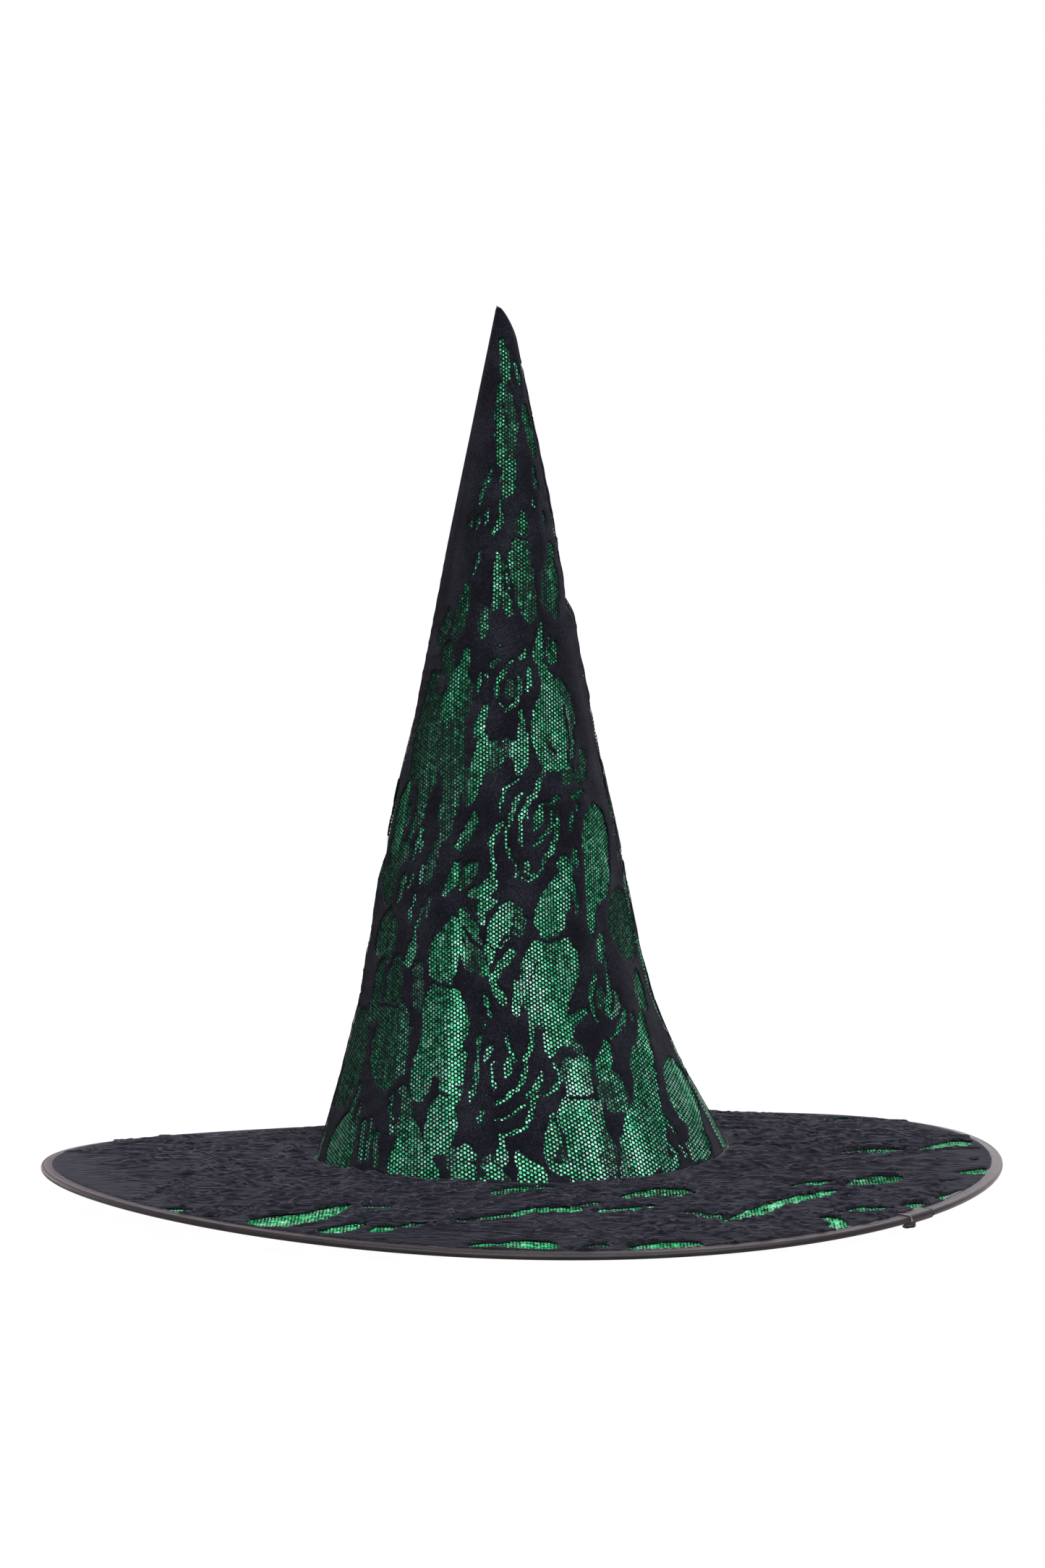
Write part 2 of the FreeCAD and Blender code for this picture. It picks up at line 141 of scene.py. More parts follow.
def crown_creases(theta, height):
    """Folds and creases of the crown's cloth, outwards."""
    radius = crown_radius(height)
    soft = 0.55 * waves(theta, height, 3, 9, (3, 8), (0.16, 0.4))
    folds = 0.28 * waves(theta, height, 5, 12, (9, 20), (0.09, 0.3))
    ridges = ridged(waves(theta, height, 8, 14, (1, 6), (0.009, 0.022)), 3)
    left = hump(angle_from(theta, math.radians(-165)), 1.0)
    patches = 0.5 + 0.5 * np.sin(3 * theta + height * 40 + 1.3)
    creases = (0.10 + 0.28 * left) * patches * ridges
    size = np.clip(radius / 0.045, 0.12, 1.1)
    right = hump(angle_from(theta, math.radians(-2)) * radius, 0.014)
    along = height - 0.25 - 0.4 * angle_from(theta, 0) * radius
    bump = right * (1.1 * hump(along + 0.005, 0.006) - 2.0 * hump(along - 0.005, 0.0055)
                    - 0.7 * hump(along - 0.022, 0.010))
    dent = -1.2 * hump(angle_from(theta, math.radians(-172)) * radius, 0.02) \
        * hump(height - 0.136 + 0.5 * angle_from(theta, math.pi) * radius, 0.006)
    seam_distance = angle_from(theta, SEAM_ANGLE) * radius
    puckers = 0.5 + 0.5 * np.sin(height * 2 * math.pi / 0.0115)
    beside_seam = hump(np.abs(seam_distance) - 0.003, 0.0018)
    seam = -0.75 * hump(seam_distance, 0.0011) + (0.25 + 0.3 * puckers) * beside_seam
    hem = -0.3 * hump(height, 0.003)
    belly = 1.7 * hump(height - 0.158, 0.042) + 0.8 * hump(height - 0.124, 0.008)
    belly = hump(angle_from(theta, math.pi), 0.9) * belly
    return (size * (soft + folds + creases) + bump + dent + belly
            + seam * np.clip(radius / 0.02, 0, 1) + hem) * MM


def crown_point(theta, height, depth):
    """A point of the crown, depth inside its outer face."""
    radius = crown_radius(height) + crown_creases(theta, height) - depth
    radius = np.maximum(radius, 0.0002)
    shift = -LEAN * np.sin(0.5 * math.pi * np.clip(height / LEAN_HEIGHT, 0, 1))
    shift = shift - (cone_radius(height) - crown_radius(height))
    rise = seam_rise(theta) * np.exp(-height / 0.06)
    return np.stack([shift + radius * np.cos(theta), radius * np.sin(theta),
                     SEAM_Z + height + rise], axis=-1)


def rim_bend(theta):
    """The bent rim wire: its sides are higher than its front and back."""
    return (5.3 * np.cos(2 * theta) + 3.4 * np.sin(2 * theta) + 1.4 * np.cos(theta)) * MM


RIM_LIFT = WIRE_LOWEST - float(rim_bend(np.linspace(0, 2 * math.pi, 721)).min())


def wire_height(theta):
    return RIM_LIFT + rim_bend(theta)


def brim_inner_height(theta):
    return SEAM_Z + seam_rise(theta) - 1.5 * MM


def brim_ripple(x, y, seed, count, spread, pitch):
    """The sum of count straight waves with crests about along x, of wavelengths in the range pitch."""
    rng = np.random.default_rng(seed)
    total = np.zeros(x.shape)
    for _ in range(count):
        lean = rng.normal(math.radians(90), spread)
        wave = 2 * math.pi / rng.uniform(*pitch)
        total += np.sin(wave * (x * np.cos(lean) + y * np.sin(lean)) + rng.uniform(0, 2 * math.pi))
    return total


def brim_creases(theta, radius):
    """Ripples and puckers of the brim's upper cloths, upwards."""
    x, y = radius * np.cos(theta), radius * np.sin(theta)
    ridges = ridged(brim_ripple(x, y, 21, 16, 0.28, (0.012, 0.034)) / 4)
    fine = ridged(brim_ripple(x, y, 29, 18, 0.26, (0.006, 0.013)) / 3)
    soft = waves(theta, radius, 23, 8, (4, 13), (0.06, 0.2))
    near_seam = np.exp(-(radius - SEAM_RADIUS) / 0.014)
    puckers = np.abs(np.sin(22 * theta + 2 * np.sin(3 * theta))) * near_seam
    right_tuck = hump(angle_from(theta, math.radians(4)) * SEAM_RADIUS, 0.006) * near_seam
    fade = np.clip((WIRE_RING - 0.008 - radius) / 0.02, 0, 1)
    fade = fade * np.clip((radius - SEAM_RADIUS) / 0.004, 0, 1)
    return (0.55 * ridges + 0.35 * soft + 0.65 * fine + 0.7 * puckers + 2.2 * right_tuck) * fade * MM


def brim_point(theta, radius, lift, creased=1.0):
    """A point of the brim, lifted over its middle plane."""
    share = (radius - SEAM_RADIUS) / (WIRE_RING - SEAM_RADIUS)
    middle = brim_inner_height(theta) * (1 - share) + wire_height(theta) * share
    height = middle + lift + creased * brim_creases(theta, radius)
    return np.stack([radius * np.cos(theta), radius * np.sin(theta), height], axis=-1)


def rim_frame(theta):
    """Origin, outward and upward directions of the bound edge, at each theta."""
    drop = (brim_inner_height(theta) - wire_height(theta)) / (WIRE_RING - SEAM_RADIUS)
    tilt = np.arctan(drop)
    radial = np.stack([np.cos(theta), np.sin(theta), np.zeros_like(theta)], axis=-1)
    up = np.array([0.0, 0.0, 1.0])
    cos, sin = np.cos(tilt)[..., None], np.sin(tilt)[..., None]
    outward = radial * cos - up * sin
    upward = radial * sin + up * cos
    origin = radial * WIRE_RING + up * wire_height(theta)[..., None]
    return origin, outward, upward


# ------------------------------------------------------------------ mesh tools
def add_mesh(name, points, faces, material, uv=None):
    """A smooth-shaded object; uv holds one pair for each point, or for each face corner."""
    mesh = bpy.data.meshes.new(name)
    mesh.from_pydata(np.asarray(points, float).reshape(-1, 3).tolist(), [], faces)
    mesh.update()
    mesh.polygons.foreach_set("use_smooth", np.ones(len(mesh.polygons), bool))
    if uv is not None:
        corners = np.empty(len(mesh.loops), int)
        mesh.loops.foreach_get("vertex_index", corners)
        uv = np.asarray(uv, float)
        pairs = uv if len(uv) == len(corners) and len(uv) != len(points) else uv[corners]
        layer = mesh.uv_layers.new(name="cloth")
        layer.data.foreach_set("uv", pairs.astype(np.float32).ravel())
    mesh.materials.append(material)
    piece = bpy.data.objects.new(name, mesh)
    bpy.context.scene.collection.objects.link(piece)
    return piece


def grid_faces(rows, columns, wrap_rows=False, wrap_columns=False, flip=False):
    """Quads between the rows and columns of a grid of points."""
    row = np.arange(rows if wrap_rows else rows - 1)
    column = np.arange(columns if wrap_columns else columns - 1)
    row, column = np.meshgrid(row, column, indexing="ij")
    next_row, next_column = (row + 1) % rows, (column + 1) % columns
    quads = np.stack([row * columns + column, next_row * columns + column,
                      next_row * columns + next_column, row * columns + next_column], axis=-1)
    quads = quads.reshape(-1, 4)
    return (quads[:, ::-1] if flip else quads).tolist()


def end_caps(steps, count):
    """The two end faces of a tube of steps rings with count points each."""
    return [list(range(count)), [(steps - 1) * count + k for k in reversed(range(count))]]


def dress(piece, nodes, body="root"):
    """Put a piece on its body and hide the CAD solids that it stands for."""
    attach(piece, body)
    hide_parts(*nodes)
    return piece


# ------------------------------------------------------------------- materials
def new_material(name, colour, roughness, **sockets):
    material = bpy.data.materials.new(name)
    material.use_nodes = True
    shader = material.node_tree.nodes["Principled BSDF"]
    shader.inputs["Base Color"].default_value = (*colour, 1)
    shader.inputs["Roughness"].default_value = roughness
    for socket, value in sockets.items():
        shader.inputs[socket.replace("_", " ")].default_value = value
    return material, material.node_tree, shader


def link(tree, source, target):
    tree.links.new(source, target)


def math_node(tree, operation, *inputs):
    node = tree.nodes.new("ShaderNodeMath")
    node.operation = operation
    for socket, value in zip(node.inputs, inputs):
        if isinstance(value, (int, float)):
            socket.default_value = value
        else:
            link(tree, value, socket)
    return node.outputs[0]


def cloth_coordinates(tree):
    """The cloth's own flat coordinates, in millimetres, as x and y outputs."""
    uv = tree.nodes.new("ShaderNodeUVMap")
    uv.uv_map = "cloth"
    split = tree.nodes.new("ShaderNodeSeparateXYZ")
    link(tree, uv.outputs[0], split.inputs[0])
    return (math_node(tree, "MULTIPLY", split.outputs[0], 1 / MM),
            math_node(tree, "MULTIPLY", split.outputs[1], 1 / MM))


def object_coordinates(tree):
    return tree.nodes.new("ShaderNodeTexCoord").outputs["Object"]


def noise(tree, vector, scale, detail):
    node = tree.nodes.new("ShaderNodeTexNoise")
    node.inputs["Scale"].default_value = scale
    node.inputs["Detail"].default_value = detail
    node.inputs["Roughness"].default_value = 0.55
    link(tree, vector, node.inputs["Vector"])
    return node.outputs[0]


def stretched(tree, vector, scale):
    node = tree.nodes.new("ShaderNodeMapping")
    node.inputs["Scale"].default_value = scale
    link(tree, vector, node.inputs["Vector"])
    return node.outputs[0]


def ramp(tree, factor, stops):
    node = tree.nodes.new("ShaderNodeValToRGB")
    band = node.color_ramp
    while len(band.elements) < len(stops):
        band.elements.new(0.5)
    for element, (position, colour) in zip(band.elements, stops):
        element.position = position
        element.color = (*colour, 1)
    link(tree, factor, node.inputs[0])
    return node.outputs[0]


def add_bump(tree, shader, height, strength, distance):
    bump = tree.nodes.new("ShaderNodeBump")
    bump.inputs["Strength"].default_value = strength
    bump.inputs["Distance"].default_value = distance
    link(tree, height, bump.inputs["Height"])
    link(tree, bump.outputs[0], shader.inputs["Normal"])


def weave(tree, x, y, pitch_x, pitch_y):
    """Crossed threads as a height from 0 to 1."""
    across = math_node(tree, "SINE", math_node(tree, "MULTIPLY", x, 2 * math.pi / pitch_x))
    along = math_node(tree, "SINE", math_node(tree, "MULTIPLY", y, 2 * math.pi / pitch_y))
    product = math_node(tree, "MULTIPLY", across, along)
    return math_node(tree, "MULTIPLY_ADD", product, 0.5, 0.5)


def dense_lace_material(name, sheen, bump, tint, crackle=0.0):
    """Solid lace; crackle is how high its small creases, which run along x, stand in the bump."""
    material, tree, shader = new_material(name, (0.010, 0.010, 0.017), 0.85,
                                          Specular_IOR_Level=0.12, Sheen_Weight=sheen,
                                          Sheen_Roughness=0.28, Sheen_Tint=(*tint, 1))
    place = object_coordinates(tree)
    tone = noise(tree, place, 60, 4)
    fuzz = noise(tree, place, 1500, 2)
    speckle = math_node(tree, "MULTIPLY_ADD", fuzz, 0.6, math_node(tree, "MULTIPLY", tone, 0.4))
    link(tree, ramp(tree, speckle, [(0.40, (0.003, 0.003, 0.006)), (0.52, (0.009, 0.009, 0.017)),
                                    (0.64, (0.026, 0.027, 0.036))]), shader.inputs["Base Color"])
    x, y = cloth_coordinates(tree)
    threads = weave(tree, x, y, 0.75, 1.1)
    height = math_node(tree, "ADD", threads, fuzz)
    if crackle:
        creases = noise(tree, stretched(tree, place, (55, 190, 190)), 1.0, 2)
        from_ridge = math_node(tree, "ABSOLUTE", math_node(tree, "SUBTRACT", creases, 0.5))
        from_ridge = math_node(tree, "MINIMUM", from_ridge, 0.07)
        height = math_node(tree, "MULTIPLY_ADD", from_ridge, -crackle, height)
    add_bump(tree, shader, height, bump, 0.0004)
    return material


def net_material(name, column, row, tightness, colour, uneven, patch):
    """Fine hexagonal net: a hole at each point of a staggered lattice, thread between them.

    column and row are the lattice's pitches in millimetres, and a lower tightness means larger
    thread and smaller holes.  uneven is how much the holes' sizes differ, over patches of about
    1 / patch metres.
    """
    material, tree, shader = new_material(name, colour, 0.85, Specular_IOR_Level=0.04)
    y, x = cloth_coordinates(tree)
    place = object_coordinates(tree)
    pull = math_node(tree, "MULTIPLY_ADD", noise(tree, place, 35, 2), 0.9, -0.45)
    x = math_node(tree, "ADD", x, pull)
    y = math_node(tree, "ADD", y, pull)
    across = math_node(tree, "COSINE", math_node(tree, "MULTIPLY", x, 2 * math.pi / column))
    half_row = math_node(tree, "COSINE", math_node(tree, "MULTIPLY", y, math.pi / row))
    full_row = math_node(tree, "COSINE", math_node(tree, "MULTIPLY", y, 2 * math.pi / row))
    pair = math_node(tree, "MULTIPLY", math_node(tree, "MULTIPLY", across, half_row), 2.0)
    lattice = math_node(tree, "ADD", full_row, pair)
    pulled = noise(tree, place, patch, 1)
    edge = math_node(tree, "MULTIPLY_ADD", pulled, uneven, tightness - uneven / 2)
    thread = math_node(tree, "LESS_THAN", lattice, edge)
    link(tree, thread, shader.inputs["Alpha"])
    add_bump(tree, shader, math_node(tree, "MULTIPLY", lattice, -0.33), 0.5, 0.0003)
    return material


def green_satin_material(name, shine, stops):
    """Satin, a little darker towards the tip as painted shade, with painted fold shade and painted glints
    in its colour; stops are its colours from painted fold shade to painted glint.
    """
    material, tree, shader = new_material(name, (0.03, 0.5, 0.18), 0.34, Metallic=0.15,
                                          Specular_IOR_Level=shine, Anisotropic=0.5,
                                          Sheen_Weight=0.25 * shine, Sheen_Roughness=0.3,
                                          Sheen_Tint=(0.7, 1.0, 0.85, 1))
    place = object_coordinates(tree)
    # The satin's colour holds painted light: folds and streaks paint the light and shade of soft upright
    # folds into it (streaks also give the bump), and painted_glints paints small bright glints.
    folds = noise(tree, stretched(tree, place, (75, 75, 9)), 1.0, 2)
    streaks = noise(tree, stretched(tree, place, (330, 330, 24)), 1.0, 4)
    painted_glints = noise(tree, place, 520, 1)
    tone = math_node(tree, "MULTIPLY_ADD", streaks, 0.16, 0.055)
    tone = math_node(tree, "MULTIPLY_ADD", folds, 0.29, tone)
    tone = math_node(tree, "MULTIPLY_ADD", painted_glints, 0.44, tone)
    # Painted shade: the colour darkens with height, towards the tip.
    split = tree.nodes.new("ShaderNodeSeparateXYZ")
    link(tree, place, split.inputs[0])
    tone = math_node(tree, "MULTIPLY_ADD", split.outputs[2], -0.13, tone)
    link(tree, ramp(tree, tone, stops), shader.inputs["Base Color"])
    along = cloth_coordinates(tree)[1]
    floats = math_node(tree, "SINE", math_node(tree, "MULTIPLY", along, 2 * math.pi / 0.4))
    height = math_node(tree, "MULTIPLY_ADD", streaks, 2.0, math_node(tree, "MULTIPLY", floats, 0.15))
    add_bump(tree, shader, height, 0.5, 0.0004)
    tangent = tree.nodes.new("ShaderNodeTangent")
    tangent.direction_type = "UV_MAP"
    tangent.uv_map = "cloth"
    link(tree, tangent.outputs[0], shader.inputs["Tangent"])
    return material


def plain_cloth_material(name, dark, light, roughness, thread, sheen=0.2, tint=(1, 1, 1)):
    """Closely woven cloth with a soft change of tone."""
    material, tree, shader = new_material(name, dark, roughness, Specular_IOR_Level=0.45,
                                          Sheen_Weight=sheen, Sheen_Roughness=0.35,
                                          Sheen_Tint=(*tint, 1))
    place = object_coordinates(tree)
    tone = noise(tree, place, 90, 4)
    link(tree, ramp(tree, tone, [(0.3, dark), (0.7, light)]), shader.inputs["Base Color"])
    x, y = cloth_coordinates(tree)
    threads = weave(tree, x, y, thread, thread)
    slubs = noise(tree, place, 700, 3)
    add_bump(tree, shader, math_node(tree, "ADD", threads, slubs), 0.35, 0.0002)
    return material


def thread_material():
    material, tree, shader = new_material("sewing_thread", (0.012, 0.012, 0.014), 0.5,
                                          Specular_IOR_Level=0.5, Sheen_Weight=0.3)
    place = object_coordinates(tree)
    twist = noise(tree, place, 4000, 1)
    link(tree, ramp(tree, twist, [(0.3, (0.004, 0.004, 0.005)), (0.7, (0.014, 0.013, 0.015))]),
         shader.inputs["Base Color"])
    add_bump(tree, shader, twist, 0.5, 0.0001)
    return material


def metal_material(name, dark, light, roughness):
    material, tree, shader = new_material(name, light, roughness, Metallic=1.0)
    place = object_coordinates(tree)
    scratches = noise(tree, place, 900, 4)
    link(tree, ramp(tree, scratches, [(0.3, dark), (0.7, light)]), shader.inputs["Base Color"])
    add_bump(tree, shader, scratches, 0.2, 0.0001)
    return material


DENSE_LACE = dense_lace_material("dense_lace", 0.07, 0.7, (0.80, 0.76, 0.95))
BRIM_LACE = dense_lace_material("brim_dense_lace", 0.17, 0.8, (0.80, 0.76, 0.98), 22.0)
# The green tint in these net thread colours is painted light: the satin's green light passing through the
# thin threads.
OPEN_NET = net_material("open_net", 1.80, 1.42, -0.15, (0.006, 0.012, 0.012), 2.6, 420)
BRIM_NET = net_material("brim_net", 1.80, 1.42, -0.60, (0.007, 0.012, 0.011), 5.0, 330)
BRIM_THICK_NET = net_material("brim_thick_net", 1.80, 1.42, -0.75, (0.009, 0.012, 0.014), 4.5, 300)
HALF_NET = net_material("half_net", 1.30, 1.03, -0.62, (0.015, 0.024, 0.024), 2.2, 420)
# The satin's colour stops run from painted fold shade up to whitish painted glints.
GREEN_SATIN = green_satin_material("green_satin", 0.55, [
    (0.362, (0.002, 0.070, 0.027)), (0.436, (0.016, 0.40, 0.155)), (0.492, (0.10, 0.90, 0.44)),
    (0.562, (0.52, 1.0, 0.80))])
# The brim's satin is the same cloth as the crown's; its lighter colour stops are painted light, and it has
# less shine.
BRIM_SATIN_PAINTED_LIGHTER = green_satin_material("brim_green_satin", 0.1, [
    (0.36, (0.003, 0.20, 0.055)), (0.44, (0.022, 0.60, 0.18)), (0.50, (0.090, 0.95, 0.36)),
    (0.57, (0.42, 1.0, 0.66))])
STIFFENER = plain_cloth_material("stiffener", (0.016, 0.016, 0.017), (0.030, 0.030, 0.031), 0.9, 1.2)
LINING = plain_cloth_material("lining_satin", (0.010, 0.010, 0.012), (0.022, 0.021, 0.024), 0.5, 0.5)
BINDING = plain_cloth_material("binding_satin", (0.010, 0.008, 0.0085), (0.024, 0.0185, 0.020), 0.40,
                               0.45, 0.6, (1.0, 0.80, 0.92))
TAIL = plain_cloth_material("binding_end", (0.006, 0.006, 0.007), (0.018, 0.016, 0.018), 0.6, 0.45)
TAPE = plain_cloth_material("head_tape", (0.014, 0.014, 0.016), (0.028, 0.027, 0.030), 0.8, 1.0)
THREAD = thread_material()
STEEL = metal_material("edge_wire", (0.35, 0.35, 0.36), (0.62, 0.62, 0.64), 0.3)
BRASS = metal_material("wire_joiner", (0.42, 0.30, 0.12), (0.75, 0.58, 0.28), 0.35)


# ---------------------------------------------------------------- lace pattern
def smooth_line(points):
    """Points on a smooth curve through points, each with its half width."""
    parts = 4
    points = np.array(points, float)
    padded = np.concatenate([points[:1], points, points[-1:]])
    line = []
    for before, start, end, after in zip(padded, padded[1:], padded[2:], padded[3:]):
        for part in range(parts):
            t = part / parts
            line.append(0.5 * (2 * start + (end - before) * t
                               + (2 * before - 5 * start + 4 * end - after) * t ** 2
                               + (3 * start - before - 3 * end + after) * t ** 3))
    return np.array(line + [points[-1]])


def ripple(x, y, seed, count, wave):
    """A smooth random field of about -1 to 1 with waves of about wave."""
    rng = np.random.default_rng(seed)
    total = np.zeros(x.shape)
    for _ in range(count):
        along, across = rng.normal(0, 2 * math.pi / wave / 1.4, 2)
        total += np.sin(along * x + across * y + rng.uniform(0, 2 * math.pi))
    return total / math.sqrt(count)


class Lace:
    """A lace pattern on a flat grid, in millimetres.

    dense is positive where the lace is solid, half where its net is half filled, and both
    are distances to the nearest edge.  ridge is how far lines are raised out of the solid parts.
    """

    def __init__(self, low, high, cell, seed):
        self.cell = cell
        self.low = low
        columns = np.arange(low[0], high[0] + cell, cell)
        rows = np.arange(low[1], high[1] + cell, cell)
        self.x, self.y = np.meshgrid(columns, rows, indexing="ij")
        self.dense = np.full(self.x.shape, FAR)
        self.half = np.full(self.x.shape, -FAR)
        self.ridge = np.zeros(self.x.shape)
        self.warped_x = self.warped(self.x, (seed, seed + 1, seed + 4))
        self.warped_y = self.warped(self.y, (seed + 2, seed + 3, seed + 5))

    def warped(self, place, seeds):
        """One coordinate of the grid, moved a little at random, which makes every edge uneven."""
        for seed, (share, count, wave) in zip(seeds, ((0.35, 8, 30), (0.25, 12, 6), (0.45, 14, 3.0))):
            place = place + share * ripple(self.x, self.y, seed, count, wave)
        return place

    def distance(self, points):
        """The part of the grid near a line, and the distance there to its edge, negative inside."""
        line = smooth_line(points)
        reach = line[:, 2].max() + 5
        part = []
        for axis in (0, 1):
            first = int((line[:, axis].min() - reach - self.low[axis]) / self.cell)
            last = int((line[:, axis].max() + reach - self.low[axis]) / self.cell)
            part.append(slice(max(0, first), max(0, last)))
        part = tuple(part)
        x, y = self.warped_x[part], self.warped_y[part]
        nearest = np.full(x.shape, FAR)
        for start, end in zip(line, line[1:]):
            run = end[:2] - start[:2]
            length = max(run @ run, 1e-6)
            share = np.clip(((x - start[0]) * run[0] + (y - start[1]) * run[1]) / length, 0, 1)
            width = start[2] + share * (end[2] - start[2])
            gap = np.hypot(x - start[0] - share * run[0], y - start[1] - share * run[1])
            nearest = np.minimum(nearest, gap - width)
        return part, nearest

    def opening(self, points, half=False):
        """A window of open or half-filled net along a line of points, each with its half width."""
        part, distance = self.distance(points)
        self.dense[part] = np.minimum(self.dense[part], distance)
        if half:
            self.half[part] = np.maximum(self.half[part], 0.7 - distance)
        else:
            self.half[part] = np.minimum(self.half[part], distance)

    def cord(self, points):
        """A thin solid cord across the net."""
        part, distance = self.distance(points)
        self.dense[part] = np.maximum(self.dense[part], -distance)

    def emboss(self, points, outline=False):
        """A line, or the outline of a window, raised out of the solid lace."""
        part, distance = self.distance(points)
        if outline:
            distance = np.abs(distance)
        self.ridge[part] = np.maximum(self.ridge[part], np.clip(1.3 - distance, 0, 1))


# What each way of cutting a grid cell by an edge leaves: corners 0 to 3 anticlockwise from
# the low corner, and 4 to 7 for the crossing points on the cell's sides after each corner.
CELL_PIECES = {
    1: [(0, 4, 7)], 2: [(1, 5, 4)], 3: [(0, 1, 5, 7)], 4: [(2, 6, 5)],
    5: [(0, 4, 7), (2, 6, 5)], 6: [(1, 2, 6, 4)], 7: [(0, 1, 2, 6, 7)], 8: [(3, 7, 6)],
    9: [(0, 4, 6, 3)], 10: [(1, 5, 4), (3, 7, 6)], 11: [(0, 1, 5, 6, 3)],
    12: [(2, 3, 7, 5)], 13: [(0, 4, 5, 2, 3)], 14: [(1, 2, 3, 7, 4)], 15: [(0, 1, 2, 3)],
}


def fill_region(lace, field):
    """Polygons that fill the part of the grid where field is positive, with smooth edges.

    Gives flat points, the field there, ridge heights there, and faces.
    """
    inside = field > 0
    columns, rows = field.shape
    points, values, ridges = [], [], []
    count = 0

    def add(x, y, value, ridge):
        nonlocal count
        points.append(np.stack([x, y], axis=-1))
        values.append(value)
        ridges.append(ridge)
        count += len(x)
        return np.arange(count - len(x), count)

    corner = np.full(field.shape, -1)
    corner[inside] = add(lace.x[inside], lace.y[inside], field[inside], lace.ridge[inside])
    crossing = []
    for step in ((1, 0), (0, 1)):
        first = (slice(0, columns - step[0]), slice(0, rows - step[1]))
        second = (slice(step[0], columns), slice(step[1], rows))
        cut = inside[first] != inside[second]
        a, b = field[first][cut], field[second][cut]
        share = np.clip(a / (a - b), 0.06, 0.94)
        x = lace.x[first][cut] * (1 - share) + lace.x[second][cut] * share
        y = lace.y[first][cut] * (1 - share) + lace.y[second][cut] * share
        numbers = np.full(field.shape, -1)
        numbers[first][cut] = add(x, y, np.zeros(len(x)), np.zeros(len(x)))
        crossing.append(numbers)
    along, across = crossing
    low = (slice(0, columns - 1), slice(0, rows - 1))
    right = (slice(1, columns), slice(0, rows - 1))
    top = (slice(0, columns - 1), slice(1, rows))
    far = (slice(1, columns), slice(1, rows))
    table = np.stack([corner[low], corner[right], corner[far], corner[top],
                      along[low], across[right], along[top], across[low]], axis=-1)
    case = (inside[low] * 1 + inside[right] * 2 + inside[far] * 4 + inside[top] * 8)
    faces = []
    for number, pieces in CELL_PIECES.items():
        cells = table[case == number]
        for piece in pieces:
            faces += cells[:, list(piece)].tolist()
    return np.concatenate(points), np.concatenate(values), np.concatenate(ridges), faces


def relief(values, ridges, thick):
    """Height in metres of the dense lace, thick in millimetres, over its net; thin at its edges."""
    rise = np.clip(values / 0.9, 0, 1)
    return thick * MM * (0.25 + 0.75 * rise * (2 - rise) + 1.1 * ridges)


# --------------------------------------------------------------- crown pattern
def flat_crown(angle, height):
    """Unrolled position, in millimetres, of a point angle degrees right of the front."""
    slant = (APEX - height) / math.cos(CONE_ANGLE)
    turn = math.radians(angle) * SECTOR
    return slant * math.sin(turn), -slant * math.cos(turn)


def crown_from_flat(points):
    """Turn and height, in radians and metres, of unrolled points."""
    slant = np.hypot(points[:, 0], points[:, 1])
    turn = np.arctan2(points[:, 0], -points[:, 1]) / SECTOR
    height = (APEX - slant * math.cos(CONE_ANGLE)) * MM
    return FRONT + turn, height


